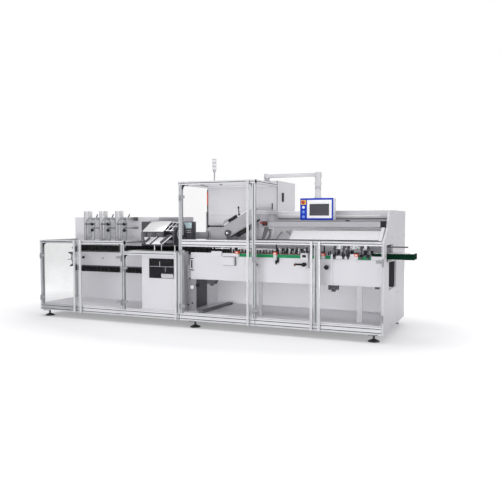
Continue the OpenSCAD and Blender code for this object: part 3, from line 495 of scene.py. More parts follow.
FINISHES = ((coated, COATED), (drawn, DRAWN), (clear_sheet, CLEAR), (woven_belt, WOVEN))


class CartonerFinishes(bpy.types.PropertyGroup):
    """Colours of the machine's finishes, a property for each finish."""

    __annotations__ = {name: colour_of(name, row[0]) for _, table in FINISHES for name, row in table.items()}


# Finish of each material slot of the CAD frame
SLOT_FINISH = {
    "dark_steel": "blackened_steel", "aluminium_profile": "anodised_aluminium", "tray_steel": "tray_paint",
    "black_plastic": "black_nylon", "hinge_steel": "zinc_plated_steel", "clear_panel": "clear_polycarbonate",
    "light_grey_paint": "powder_coat", "white_paint": "white_enamel", "plate_grey": "plate_paint",
    "bracket_grey": "bracket_paint", "stainless": "brushed_stainless", "dark_window": "smoked_acrylic",
    "folder_dark": "graphite_paint", "green_plastic": "green_polyethylene", "green_belt": "woven_belt",
    "orange_plastic": "orange_polyamide", "motor_grey": "cast_motor_paint", "bright_bar": "hinge_paint",
    "hood_clear": "hood_polycarbonate", "panel_blue": "blue_polyester", "screen_grey": "screen_glass",
    "lamp_white": "lamp_polycarbonate",
}

# Nodes whose finish differs from their slot's
NODE_FINISH = {
    "rear_housing": "housing_paint", "carton_magazine": "magazine_paint", "leaflet_folder": "shaded_stainless",
    "hood_beam": "beam_aluminium", "long_rails": "rail_aluminium", "cross_rails": "rail_aluminium",
    "door_hinges": "hinge_paint", "lower_cabinet": "wall_paint", "end_panel": "end_paint",
    "infeed_door_left": "worn_polycarbonate", "magazine_chutes": "chute_acrylic", "stack_light": "bracket_paint",
    "panel_arm": "arm_enamel", "support_brackets": "bracket_paint", "closing_units": "cast_motor_paint",
    "magazine_clamps": "graphite_paint",
}


class CARTONER_OT_finishes(bpy.types.Operator):
    """Makes the finishes and gives every CAD node its own"""

    bl_idname = "cartoner.finishes"
    bl_label = "Finishes"

    def execute(self, context):
        look = context.scene.cartoner_finishes
        for make, table in FINISHES:
            for name, (_, *values) in table.items():
                make(name, getattr(look, name), *values)
        # The frame gave each node a material with the name of its slot
        slots = {name: node.data.materials[0].name.split(".")[0] for name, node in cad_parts.items()}
        for name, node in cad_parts.items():
            finish = NODE_FINISH.get(name, SLOT_FINISH[slots[name]])
            for slot in node.material_slots:
                slot.material = bpy.data.materials[finish]
        return {"FINISHED"}


class CARTONER_OT_operator_panel(bpy.types.Operator):
    """Models the operator panel with its tube, frame, bezel, screen and buttons"""

    bl_idname = "cartoner.operator_panel"
    bl_label = "Operator panel"

    def execute(self, context):
        body, slot = "operator_panel", "panel_blue"
        low, high = reach("operator_panel")
        screen_low, screen_high = reach("operator_screen")
        face, top = low.y, screen_high.z + 21
        mid_x, mid_y, _ = (low + high) / 2
        # Housing: a folded steel box with a raised lid round its back
        box = sunk(block(low.x, high.x, face + 14, high.y, low.z, top, 4), "back", 20, 3, 4)
        housing = fit("operator_housing", box, slot, "white_enamel", body)
        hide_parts("operator_panel")
        tube = turned([(46, 0), (46, 12), (33, 13), (33, high.z - top)], spot(mid_x, mid_y, top), "up", 40)
        fit("operator_tube", tube, slot, "arm_enamel", body)
        rings = [turned([(33.5, 0), (34.5, 1), (34.5, wide - 1), (33.5, wide)], spot(mid_x, mid_y, z), "up", 40)
                 for z, wide in ((top + 105, 14), (high.z - 20, 5))]
        fit("tube_rings", rings, slot, "bracket_paint", body)
        # Blue plate over the whole front
        plate = block(low.x, high.x, face, face + 16, low.z, top, 4)
        fit("operator_frame", plate, slot, "blue_polyester", body)
        # White bezel with the screen set back in it
        bezel = block(screen_low.x, screen_high.x, face - 6, face + 2, screen_low.z, screen_high.z, 3)
        bezel = fit("operator_bezel", sunk(bezel, "front", 24, 3, 3), "screen_grey", "white_enamel", body)
        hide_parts("operator_screen")
        glass = block(screen_low.x + 28, screen_high.x - 30, face - 4, face + 1,
                      screen_low.z + 24, screen_high.z - 44, 1)
        fit("operator_glass", glass, "screen_grey", "", body)
        # Left column: emergency stop on its yellow plate, a white button and two blue ones
        column = (low.x + screen_low.x) / 2
        plate = block(column - 30, column + 30, face - 4, face + 1, 1435, 1487)
        fit("stop_plate", plate, "orange_plastic", "yellow_polyamide", body)
        stop = turned([(11, 0), (11, 10), (19, 13), (20, 21), (15, 26), (4, 27)],
                      spot(column, face - 4, 1461), "front", 32)
        fit("stop_button", stop, "orange_plastic", "red_polyamide", body)
        start, *keys = [turned([(15, 0), (15, 4), (11, 5), (11, 8), (9, 9)], spot(column, face, z), "front", 28)
                        for z in (1405, 1354, 1300)]
        fit("start_button", start, "white_paint", "", body)
        fit("panel_keys", keys, "panel_blue", "panel_key", body)
        return {"FINISHED"}


DOORS = ("infeed_door_left", "infeed_door_right", "folder_door", "tower_door", "bed_door_left", "bed_door_right")

# Corner brackets of the guard: the corner's place along and up, and the way the bracket's legs go
BRACKETS = (
    (40, 966, 1, -1), (1290, 966, -1, -1), (1330, 880, 1, 1), (1330, 840, 1, -1),
    (2150, 1671, 1, -1), (3044, 1671, -1, -1), (2150, 956, 1, -1), (3044, 956, -1, -1),
    (2150, 1036, 1, 1), (3044, 1036, -1, 1), (3803, 996, 1, -1), (3763, 996, -1, -1),
)

# Posts of the guard front and the heights at which rails are screwed to them
POST_SCREWS = {
    20: (105, 145, 986),
    1310: (105, 145, 860, 986),
    2089: (105, 145, 860),
    2130: (105, 145, 976, 1016, 1691),
    3064: (105, 145, 976, 1016, 1691),
    3783: (105, 145, 1016),
}

# Front rails with a slot to the front: from, to and the slot's height
RAIL_SLOTS = (
    (4, 2105, 105), (4, 2105, 145), (2114, 3080, 105), (2114, 3080, 145), (3084, 4478, 105),
    (3084, 4478, 145), (4, 1326, 986), (1331, 2068, 860), (2151, 3043, 976), (2151, 3043, 1016),
    (2114, 3080, 1691), (3085, 4478, 1016),
)

# Rails with a slot on top: from, to and the top's height
TOP_SLOTS = (
    (42, 1288, 165), (1332, 2067, 165), (2152, 3042, 165), (3086, 3761, 165), (3805, 4478, 165),
    (4, 1326, 1006), (1331, 2068, 880), (2151, 3043, 1036),
)

# Posts with slots: middle and upper end. The one before the tower has its right side covered.
POST_SLOTS = ((20, 966), (1310, 966), (2089, 880), (2130, 1671), (3064, 1671), (3783, 996))
COVERED_POST = 2089

# Rails that run to the back, with a slot in the face towards the outfeed: face, height and far end
SIDE_SLOTS = ((40, 986, 699), (1330, 986, 699), (3084, 1691, 684))

# Feet: place along, and places back
FEET = ((80, (80, 870)), (2282, (80, 1270)), (4389, (80, 1270)))


class CARTONER_OT_guard_fittings(bpy.types.Operator):
    """Models the doors' handle bars and pane edges, and the guard frame's screws, slot strips and foot nuts"""

    bl_idname = "cartoner.guard_fittings"
    bl_label = "Guard fittings"

    def execute(self, context):
        sizes = context.scene.cartoner_fittings
        wide, skin, rim = sizes.bar / MM, 0.6, 3
        for door in DOORS:
            pane_low, pane_high = reach(door)
            low, high = reach(door + "_fittings")
            x = high.x - wide if low.x < pane_low.x else low.x
            bar = block(x - skin, x + wide + skin, low.y - skin, pane_low.y - 1, low.z - skin, high.z + skin, 3)
            fit(door + "_bar", sunk(bar, "front", 5, 1, 2), "bright_bar", "satin_aluminium", door)
            # Sawn edges of the clear pane, which catch the light all round
            x0, y0, z0 = (value - skin for value in pane_low)
            x1, y1, z1 = (value + skin for value in pane_high)
            edges = [(x0, x0 + rim, y0, y1, z0, z1), (x1 - rim, x1, y0, y1, z0, z1),
                     (x0, x1, y0, y1, z0, z0 + rim), (x0, x1, y0, y1, z1 - rim, z1)]
            fit(door + "_edges", blocks(edges, 0.6), "clear_panel", "pane_edge", door)
        screws = [(x + 13 * way_x, 12, z + 13 * way_z) for x, z, way_x, way_z in BRACKETS]
        screws += [(x, 0, z) for x, heights in POST_SCREWS.items() for z in heights]
        fit("guard_screws", screw_heads(sizes.screw / MM, screws, "front"), "dark_steel")
        # Rubber strips pressed into the slots of the profiles, a little below the surface, dark as painted shade
        # inside the slots
        half, top, deep, mid = 3.7, 0.6, 3.6, 20
        strips = [(x0, x1, top, deep, z - half, z + half) for x0, x1, z in RAIL_SLOTS]
        strips += [(x0, x1, mid - half, mid + half, z - deep, z - top) for x0, x1, z in TOP_SLOTS]
        for x, z in POST_SLOTS:
            strips.append((x - half, x + half, top, deep, 166, z - 1))
            if x != COVERED_POST:
                strips.append((x + mid - deep, x + mid - top, mid - half, mid + half, 166, z - 1))
        strips += [(x - deep, x - top, 41, y, z - half, z + half) for x, z, y in SIDE_SLOTS]
        fit("slot_strips", blocks(strips, 0.8), "black_plastic", "slot_rubber")
        nut = turned([(19, 0), (20, 2), (20, 12), (19, 14)], ORIGIN, "down", 6)
        nuts = repeated(nut, [(x, y, 85) for x, backs in FEET for y in backs])
        fit("foot_nuts", nuts, "dark_steel", "zinc_plated_steel")
        return {"FINISHED"}


class CARTONER_OT_bucket_conveyor(bpy.types.Operator):
    """Models the chain links, bearings, bolts and knob of the bucket conveyor"""

    bl_idname = "cartoner.bucket_conveyor"
    bl_label = "Bucket conveyor"

    def execute(self, context):
        sizes = context.scene.cartoner_fittings
        low, high = reach("bucket_frame")
        chain_low, chain_high = reach("bucket_chain")
        round_end = (high.z - low.z) / 2
        first, last, mid = low.x + round_end, high.x - round_end, (low.z + high.z) / 2
        pitch = sizes.link / MM
        link = loose(-0.4 * pitch, 0.4 * pitch, -1.2, 1.2, -7, 7, 1, 1)
        places = [(first + (i + 0.5) * pitch, chain_low.y - 1, z)
                  for i in range(int((last - first) / pitch)) for z in (chain_low.z + 9, chain_high.z - 9)]
        fit("bucket_links", repeated(link, places), "hinge_steel", "shaded_stainless")
        hub = turned([(52, 0), (52, 6), (47, 9), (27, 9), (27, 17), (22, 20)], ORIGIN, "front", 32)
        hubs = repeated(hub, [(x, low.y, mid) for x in (first, last)])
        fit("bucket_bearings", hubs, "hinge_steel", "polished_steel")
        bolts = [(first + 170 + 290 * i, low.y, mid + side * 62) for i in range(10) for side in (-1, 1)]
        fit("bucket_bolts", screw_heads(sizes.screw / MM, bolts, "front"), "dark_steel", "zinc_plated_steel")
        knob = turned([(7, 0), (7, 12), (17, 14), (19, 24), (14, 30)], spot(455, low.y, 769), "front")
        eye = turned([(8, 0), (8, 4), (5, 5)], spot(763, low.y, 764), "front", 16)
        fit("bucket_knob", [knob, eye], "black_plastic")
        return {"FINISHED"}


class CARTONER_OT_magazines(bpy.types.Operator):
    """Models the dark plate edges, clamp screws, grips and lever sleeves of the product magazines"""

    bl_idname = "cartoner.magazines"
    bl_label = "Product magazines"

    def execute(self, context):
        low = reach("magazine_chutes")[0]
        wide, pitch, rise = 150, 255, 180
        middles = [low.x + wide / 2 + i * pitch for i in range(3)]
        # Edge of a chute: two rings pulled apart into long loops
        edges = []
        for inside in (2, 14):
            loop = ring(wide / 2 - inside, 2.4, 32, 6, "front")
            pick(loop, "faces", lambda face: face.center.z > 0)
            shift_picked(0, 0, rise)
            edges.append(loop)
        fit("chute_edges", repeated(joined(edges), [(x, low.y - 1, low.z + wide / 2) for x in middles]),
            "bracket_grey", "acrylic_edge")
        low, high = reach("magazine_uprights")
        strip = loose(-1.8, 1.8, -1.8, 1.8, 0, high.z - low.z, 0.6, 1)
        lines = [(low.x + i * pitch + x, low.y - 1, low.z) for i in range(3) for x in (2.5, 71.5)]
        fit("upright_edges", repeated(strip, lines), "bracket_grey", "acrylic_edge")
        front = reach("magazine_clamps")[0].y
        screws = [(x + side * 62, front, 1212) for x in middles for side in (-1, 1)]
        fit("magazine_screws", screw_heads(5, screws, "front"), "dark_steel")
        # Star grips on the clamp knobs, and sleeves on the chute levers
        grip = turned([(16, 0), (20, 4), (20, 24), (13, 30)], ORIGIN, "front", 12)
        grips = repeated(grip, [(x + 49, 322, z) for x in middles for z in (1211, 1131)])
        sleeve = leaned(loose(-6, 6, 1, 13, 12, 46, 3), "Y", 25)
        sleeves = repeated(sleeve, [(x + 70, 368, 1300) for x in middles])
        fit("magazine_grips", [grips, sleeves], "black_plastic")
        return {"FINISHED"}


class CARTONER_OT_folder(bpy.types.Operator):
    """Models the folder's cover, face, pockets, rods and window, and the control box behind it"""

    bl_idname = "cartoner.folder"
    bl_label = "Leaflet folder"

    def execute(self, context):
        x0, y0, _ = reach("leaflet_folder")[0]
        x1, slope, lean = x0 + 292, 29.9, 53
        # Cover sheet on the sloping top, with its front lip folded down and dark trims round it
        sheet = leaned(loose(0, x1 - x0 + 4, 0, 231, 0, 3, 1), "X", slope, spot(x0 - 2, y0 - 1, 1131))
        lip = block(x0 - 2, x1 + 2, y0 - 3, y0 - 0.5, 1122, 1133, 1)
        fit("folder_cover", [sheet, lip], "stainless")
        trims = [(x0 - 3, x1 + 3, y0 - 4.5, y0 - 0.5, 1116, 1123, 1),
                 (x1 - 3, x1 + 3, y0 - 4.5, y0 - 0.5, 965, 1118, 1),
                 (1255, 1482, 500, 512, 900, 1245, 2)]
        fit("folder_trims", blocks(trims), "folder_dark", "board_paint")
        # Bright face plate whose left end slants in towards its foot
        plate = block(x0 + 16, x1 - 4, y0 - 4, y0 + 1, 970, 1056, 1)
        corner = spot(x0 + 20, y0, 1000)
        pick(plate, "points", lambda point: point.co.x < corner.x and point.co.z < corner.z)
        shift_picked(30, 0, 0)
        fit("folder_face", plate, "stainless")
        # Three dark leaning pockets on the plate, with bright rods along them
        front = y0 - 3.5
        pockets = [leaned(loose(-15, 15, -8, 0, 0, long, 3), "Y", lean, spot(x0 + x, front, z))
                   for x, z, long in ((104, 980, 150), (40, 1000, 80), (252, 984, 140))]
        fit("folder_pockets", pockets, "folder_dark", "board_paint")
        rods = []
        for x, z, radius, long in ((56, 984, 4, 110), (86, 974, 6, 150), (240, 1000, 4, 100), (274, 972, 7, 170)):
            bar = turned([(radius * 0.8, 0), (radius, 2), (radius, long - 2), (radius * 0.8, long)],
                         ORIGIN, "up", 16)
            rods.append(leaned(bar, "Y", lean, spot(x0 + x, front - 6, z)))
        # Cross rods of the works, and the bright side bars that lie on them along the slope
        rods.append(repeated(rod(137, 7, "right"),
                             [(x1 - 1, y0 + y, 1121 + 0.575 * y) for y in (30, 115, 195)]))
        for x in (40, 96):
            rods.append(leaned(loose(0, 8, 0, 228, 0, 8), "X", slope, spot(x1 + x, y0, 1127)))
        fit("folder_rods", rods, "stainless", "polished_steel")
        hoop = ring(62, 5, 40, 8, "right", spot(1993, 240, 1093))
        pick(hoop, "faces", lambda face: abs(face.normal.x) > 0.9)
        shift_picked(-1, 0, 0)
        fit("folder_ring", hoop, "stainless", "polished_steel")
        # What shows behind the dark window, and the window's frame
        face = reach("folder_window")[0].y
        lines = [(a, b, face - 1, face + 1, c, d, 0.5)
                 for a, b, c, d in ((1640, 1988, 698, 702), (1780, 1786, 702, 762), (1860, 1864, 640, 698))]
        fit("window_lines", blocks(lines), "white_paint", "plate_paint")
        foot = block(1806, 1976, face - 2, face + 1, 562, 598, 1)
        cup = turned([(18, 0), (18, 1), (12, 3)], ORIGIN, "front", 16)
        cups = repeated(cup, [(1820 + 33 * i, face, 598) for i in range(5)])
        fit("window_cups", [foot, cups], "white_paint", "plate_paint")
        sides = [(a, b, face - 3, face + 1, c, d, 1)
                 for a, b, c, d in ((1626, 2000, 551, 557), (1626, 2000, 798, 804),
                                    (1626, 1632, 551, 804), (1994, 2000, 551, 804))]
        fit("window_frame", blocks(sides), "light_grey_paint")
        # Control box behind the folder: a raised display and a row of keys
        board = reach("folder_backboard")[0].y
        front = board - 10
        fit("folder_bezel", block(1900, 2054, front, board + 1, 1030, 1240), "folder_dark", "board_paint")
        display = sunk(block(1944, 2050, front - 4, front + 1, 1160, 1234), "front", 6, 1, 2)
        fit("folder_display", display, "dark_window", "teal_display")
        # Paler sheet on the low panel beside the control box
        fit("panel_sheet", block(2060, 2234, 498.5, 500.5, 1029, 1114, 0.8), "bracket_grey", "hinge_paint")
        key = turned([(6, 0), (6, 3), (5, 5)], ORIGIN, "front", 12)
        keys = repeated(key, [(1962 + 22 * i, front, z) for i in range(4) for z in (1135, 1112)])
        fit("folder_keys", keys, "white_paint")
        return {"FINISHED"}


# Plain pieces along the bed: name, slot, finish, and the blocks' limits along, back and up with their edge
BED_BLOCKS = (
    # Thin brown wear strip over the green rail
    ("wear_strip", "orange_plastic", "brown_phenolic", (2690, 3540, 179.5, 190, 878.5, 888, 1)),
    # Pale guide on the deck's far edge, behind the carton lugs
    ("lug_guide", "light_grey_paint", "", (2620, 3600, 315, 321.5, 862, 938, 1)),
    # Dark plate on the end panel's inside, beside its lower opening: painted shade for the machine's shadowed
    # inside
    ("end_shade", "black_plastic", "slot_rubber", (4352, 4480.5, 745, 757, 505, 798, 2)),
    # Beam behind the closing works, and the plate on the apron under them
    ("closing_beam", "bracket_grey", "", (3934, 4318, 226, 240, 906, 944, 3)),
    ("closing_plate", "light_grey_paint", "", (3955, 4125, 160, 168.5, 842, 880, 1)),
    # Grey cover on the flat bar in the tray
    ("tray_bar_cover", "bracket_grey", "graphite_paint", (2328.5, 2391.5, 68.5, 891.5, 170.5, 198, 1)),
    # Sheets on the bed's left end plate and on its two legs, and a dark sheet towards the infeed as painted shade
    # in the bed's far corner
    ("joint_plate", "bracket_grey", "hinge_paint", (2112.5, 2233.5, 188.5, 190.5, 172.5, 556, 0.8)),
    ("leg_sheets", "light_grey_paint", "plate_paint",
     *[(x0, x1, 200.6, 202.5, 172.5, 557, 0.8) for x0, x1 in ((3043.5, 3084.5), (4179.5, 4240.5))]),
    ("side_shield", "folder_dark", "", (2100.5, 2108.5, 320, 978, 170.8, 565, 1)),
)

# Dark plates: on the gearbox, the slotted clamp on the apron's left end, the sensor box's back, a dark frame round
# the box on the apron that is painted shadow, and its clips
DARK_PLATES_AND_SHADOW_FRAME = (
    (3597, 3641, 97.5, 100.5, 856, 884, 1), (2186, 2206, 153, 157, 690, 788, 2),
    (2174, 2218, 150, 157, 800, 812, 2), (2174, 2218, 150, 157, 664, 676, 2),
    # The second block on the next line is the dark frame behind the box on the apron: painted shadow round its
    # edges
    (2228, 2268, 188, 214, 466, 506, 4), (2604, 2769, 171, 181, 735, 838, 2),
    (3282, 3300, 148, 182, 786, 842, 3), (3262, 3276, 150, 182, 768, 812, 3),
)

INDICATORS = (2800, 3268, 3821, 4185)
GUIDE_POSTS = (2480, 2695, 3275, 3385, 3495)
CLOSING_POSTS = (3942, 4040, 4090, 4232, 4302)
CLOSING_FINGERS = (3968, 4066, 4180, 4258)
CLOSING_VALVES = (3985, 4140, 4262)
MOTORS = (2432, 3919)


class CARTONER_OT_bed(bpy.types.Operator):
    """Models the indicators, crank, knobs, screws, guides, sheets, motors and closing works along the bed"""

    bl_idname = "cartoner.bed"
    bl_label = "Cartoning bed"

    def execute(self, context):
        fit_blocks(BED_BLOCKS)
        # Black cap and pale counter window on every orange indicator
        cap = loose(-21, 21, -24, 24, 0, 8)
        fit("indicator_caps", repeated(cap, [(x, 146, 906) for x in INDICATORS]), "black_plastic")
        counter = loose(-12, 12, -2, 2, -7, 7, 1)
        fit("indicator_counters", repeated(counter, [(x, 124, 890) for x in INDICATORS]), "white_paint")
        # Crank: handle sleeve and hub cap
        low, high = reach("crank")
        sleeve = turned([(10, 0), (13.5, 4), (12.5, 20), (14.5, 40), (13, 50), (8, 54)],
                        spot(low.x + 12, low.y + 52, low.z + 22), "front", 20)
        fit("crank_handle", sleeve, "black_plastic", "brown_phenolic", "crank")
        hub = turned([(22.5, 0), (22.5, 4), (16, 8), (6, 9)], spot(high.x - 22, low.y + 45, low.z + 22), "front")
        fit("crank_cap", hub, "black_plastic", "", "crank")
        # Screws of the gearbox, the apron and its cover
        face = reach("bed_deck")[0].y - 10
        screws = [(x, 100, z) for x in (3587, 3651) for z in (745, 893)]
        screws += [(2230 + 280 * i, face, z) for i in range(6) for z in (572, 828) if i not in (1, 2) or z == 572]
        screws += [(x, face - 12, z) for x in (3945, 4195, 4445) for z in (582, 815)]
        fit("bed_screws", screw_heads(4.5, screws, "front"), "hinge_steel")
        # Guide rod over the cartons on short posts, with dark clamps and bright collars on it
        places = [(x, 0, 0) for x in GUIDE_POSTS]
        posts = [repeated(loose(-8, 8, 181, 203, 877, 944), places),
                 repeated(loose(50, 86, 186, 206, 914, 946, 3), places[1:]),
                 repeated(loose(118, 134, 188, 204, 900, 962, 3), places[2:])]
        fit("guide_posts", posts, "black_plastic")
        bars = [rod(1130, 5, "right", place=spot(2450, 196, 930)),
                repeated(rod(18, 12, "right"), [(x + 94, 196, 930) for x in GUIDE_POSTS]),
                repeated(rod(70, 6), [(x + 30, 190, 878) for x in GUIDE_POSTS[2:]])]
        fit("guide_rod", bars, "hinge_steel", "polished_steel")
        disc = turned([(11, 0), (11, 1.2), (8, 1.6)], ORIGIN, "front", 20)
        discs = repeated(disc, [(x, 188.8, z) for x, z in ((2126, 242), (2184, 265), (2150, 560))])
        # The dark plates and black discs, with the frame of painted shadow behind the box on the apron
        fit("bed_dark_plates", [blocks(DARK_PLATES_AND_SHADOW_FRAME), discs], "black_plastic")
        # White knob on the left end plate, and ring grips on the apron's two round knobs
        knob = turned([(8, 0), (8, 12), (22, 15), (24, 26), (16, 34)], spot(2192, 190, 460), "front")
        fit("joint_knob", knob, "white_paint")
        grip = turned([(23.5, 0), (26, 4), (26, 16), (22, 22), (10, 23)], ORIGIN, "front", 12)
        fit("knob_grips", repeated(grip, [(x, 119, 754) for x in (3030, 3866)]), "black_plastic")
        # Closing works: tie bars between the posts, short cylinders, black and white blocks and red caps
        first, *_, last = CLOSING_POSTS
        ties = [repeated(rod(last - first + 24, 5, "right"), [(first - 12, y, 955) for y in (172, 205)])]
        ties += [rod(long, 11, "right", place=spot(x, 190, 968)) for x, long in ((3955, 75), (4105, 110))]
        fit("closing_bars", ties, "hinge_steel", "polished_steel")
        places = [(x, 0, 0) for x in CLOSING_POSTS]
        dark = [repeated(loose(-18, 18, 150, 178, 868, 896, 3), places),
                repeated(loose(20, 46, 196, 226, 890, 936, 3), places),
                repeated(loose(0, 14, 200, 330, 944, 958, 3), [(x, 0, 0) for x in CLOSING_FINGERS])]
        fit("closing_blocks", dark, "black_plastic")
        valve = loose(0, 30, 158, 190, 957, 992, 3)
        fit("closing_valves", repeated(valve, [(x, 0, 0) for x in CLOSING_VALVES]), "white_paint")
        cap = turned([(6, 0), (9, 2), (9, 12), (6, 14)], ORIGIN, "up", 12)
        caps = [repeated(cap, [(x + 15, 172, 992) for x in CLOSING_VALVES]),
                block(3062, 3085, 186, 202, 1222, 1246, 3)]
        fit("red_caps", caps, "orange_plastic", "red_polyamide")
        # Fins and terminal box of the motors under the apron
        fin = turned([(37, 0), (39.5, 1), (39.5, 4), (37, 5)], ORIGIN, "back")
        fins = [repeated(fin, [(x, 262 + 12 * i, 544) for x in MOTORS for i in range(5)]),
                repeated(loose(-22, 22, 205, 235, 484, 508, 3), [(x, 0, 0) for x in MOTORS])]
        fit("motor_fins", fins, "motor_grey")
        return {"FINISHED"}


# Plain pieces on and round the tower's back wall and the housing, in the same columns as along the bed
TOWER_BLOCKS = (
    # Pale sheet on the wall behind the magazine, with a bright strip near its top
    ("tower_sheet", "light_grey_paint", "", (2150, 3042, 683.5, 685.5, 1060, 1371, 0.8)),
    ("tower_strip", "white_paint", "", (2150, 3042, 679, 684.5, 1334, 1343, 1)),
    # Dark seam on the cabinet's corner, a latch beside it, and a seam along the housing
    ("cabinet_seams", "black_plastic", "slot_rubber", (3079, 3085, 683.8, 690, 1374, 1738, 1),
     (3014, 3026, 676, 685.5, 1394, 1470, 3), (3090, 4462, 682.8, 685.8, 1274, 1283, 0.8)),
    # White ledge and trim, and a paler panel, along the housing's upper edge
    ("housing_trims", "white_paint", "", (3090, 3520, 680, 686.2, 1352, 1371.5, 1),
     (3522, 4330, 682.2, 685.8, 1301, 1317, 1)),
    ("housing_panel", "light_grey_paint", "", (3100, 3520, 683.2, 685.8, 1292, 1350, 0.8)),
    # Small clips under the tower's top rail
    ("rail_clips", "bracket_grey", "hinge_paint",
     *[(x0, x1, 8, 34, 1657, 1671.5, 2) for x0, x1 in ((2190, 2226), (2392, 2438), (2640, 2666))]),
    # Black strip down the cabinet's front edge, painted shade where that edge lies in shadow, with an orange length
    # on it
    ("cabinet_strip", "black_plastic", "", (2131, 2143, 674, 686, 1376, 1650, 3),
     (2131, 2143, 674, 686, 1165, 1374, 3)),
    ("cabinet_light", "orange_plastic", "", (2130, 2144, 672, 680, 1455, 1618, 3)),
)

# The carton magazine's lower shaft, and its tilt in degrees
MAGAZINE_FOOT = (2612, 300, 1108)
MAGAZINE_TILT = -29


class CARTONER_OT_carton_magazine(bpy.types.Operator):
    """Models the carton magazine's hub, belt, works and rails, and the plain pieces of the tower and housing"""

    bl_idname = "cartoner.carton_magazine"
    bl_label = "Carton magazine"

    def execute(self, context):
        fit_blocks(TOWER_BLOCKS)
        x, y, z = MAGAZINE_FOOT
        foot = spot(x, y, z)
        hub = turned([(40, 0), (40, 10), (34, 14), (30, 14), (28, 10), (14, 10), (14, 22), (11, 24)],
                     spot(x, y - 12, z), "front", 40)
        fit("magazine_hub", hub, "hinge_steel", "shaded_stainless")
        pin = turned([(16, 0), (16, 6), (12, 12), (5, 15)], spot(x, y - 36, z), "front", 28)
        fit("magazine_pin", pin, "hinge_steel", "polished_steel")
        # Belt round the underside: a loop drawn out, cut along the middle and thickened
        deselect()
        bpy.ops.mesh.primitive_circle_add(vertices=64, radius=49 * MM, fill_type="NOTHING", rotation=TURNS["front"])
        belt = apply_place()
        pick(belt, "points", lambda point: point.co.x > 0.1 * MM)
        bpy.ops.transform.translate(value=near(432, 0, 0))
        bpy.ops.mesh.select_all(action="SELECT")
        bpy.ops.mesh.extrude_region_move(TRANSFORM_OT_translate={"value": near(0, 80, 0)})
        bpy.ops.mesh.select_all(action="SELECT")
        bpy.ops.mesh.bisect(plane_co=(0, 0, 0), plane_no=(0, 0, 1), clear_outer=True)
        bpy.ops.mesh.select_all(action="SELECT")
        bpy.ops.mesh.normals_make_consistent(inside=False)
        close_edit()
        wall = belt.modifiers.new("thickness", "SOLIDIFY")
        wall.thickness, wall.offset = 4.6 * MM, -1
        bpy.ops.object.modifier_apply(modifier=wall.name)
        belt = leaned(belt, "Y", MAGAZINE_TILT, spot(x, y + 10, z))
        # Carton guide on the front flange with the lever that sets it, and the drive under the belt
        guide = loose(70, 200, -8, 0, 102, 142, 3)
        seat = loose(216, 244, -8, 8, 112, 130, 3)
        lever = leaned(turned([(6, 0), (6, 66), (10, 70), (12, 82), (7, 92)], sides=20), "Y", 24, near(230, 0, 128))
        drive = loose(110, 330, 16, 70, -92, -46, 6)
        roller = turned([(22, 0), (24, 2), (24, 58), (22, 60)], near(90, 72, -70), "front")
        works = leaned(joined([guide, seat, lever, drive, roller]), "Y", MAGAZINE_TILT, foot)
        belt = fit("magazine_belt", [belt, works], "black_plastic")
        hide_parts("carton_belt")
        # Side rail with a long groove, and a bright flange along its top
        rail = sunk(loose(45, 420, -4, 1, -34, 30, 3), "front", 14, 3, 3)
        fit("magazine_rail", leaned(rail, "Y", MAGAZINE_TILT, foot), "plate_grey", "magazine_paint")
        flange = leaned(loose(0, 430, -4, 10, 108, 118), "Y", MAGAZINE_TILT, foot)
        fit("magazine_flange", flange, "plate_grey", "satin_aluminium")
        # Dark rod with collars along the feeder's top edge, with a knob at its end
        bars = [rod(196, 7, "right", place=spot(2306, 402, 1190)),
                repeated(rod(12, 11, "right"), [(2330 + 42 * i, 402, 1190) for i in range(4)]),
                turned([(8, 0), (16, 6), (16, 16), (9, 22)], spot(2309, 402, 1190), "left", 20)]
        fit("feeder_bar", bars, "black_plastic")
        return {"FINISHED"}


# The hood's hinge line with its slope in degrees, and the front of the beam over it
HOOD_HINGE_Y, HOOD_HINGE_Z, HOOD_SLOPE = 188, 1186, 40
BEAM_FRONT = 200


class CARTONER_OT_hood_fittings(bpy.types.Operator):
    """Models the hood's edge strip, end and sheet, and the cap, sensor and strips on its beam"""

    bl_idname = "cartoner.hood_fittings"
    bl_label = "Hood fittings"

    def execute(self, context):
        low, high = reach("hood")
        edge = rod(high.x - low.x, 4.5, "right", 12, spot(low.x, low.y + 4, low.z + 3))
        fit("hood_edge", edge, "black_plastic", "", "hood")
        # The plate's turned-in end beside the end panel, and a white sheet under the plate from the arch on
        for name, x, limits in (("hood_end", 4439, (0, 34, -222, -14, 3.5, 10.5, 1)),
                                ("hood_sheet", 3476, (0, 962, -220, -64, 0.8, 3.4, 1))):
            sheet = leaned(loose(*limits), "X", HOOD_SLOPE, spot(x, HOOD_HINGE_Y, HOOD_HINGE_Z))
            fit(name, sheet, "hood_clear", "housing_paint", "hood")
        front = BEAM_FRONT
        fit_blocks((
            ("beam_cap", "black_plastic", "", (4420, 4479.4, front - 1.5, front + 141.5, 1178.5, 1251.5, 2),
             (3092, 3150, front - 12, front + 1, 1200, 1246, 3)),
            ("beam_lights", "orange_plastic", "red_polyamide",
             *[(x, x + 14, front - 15, front - 11, z, z + 10, 1)
               for x, z in ((3098, 1228), (3120, 1214), (3132, 1232))]),
            ("beam_strips", "black_plastic", "graphite_paint",
             *[(3086, 4422, front - 2, front + 1, z, z + 5, 1) for z in (1182, 1244)]),
        ))
        return {"FINISHED"}


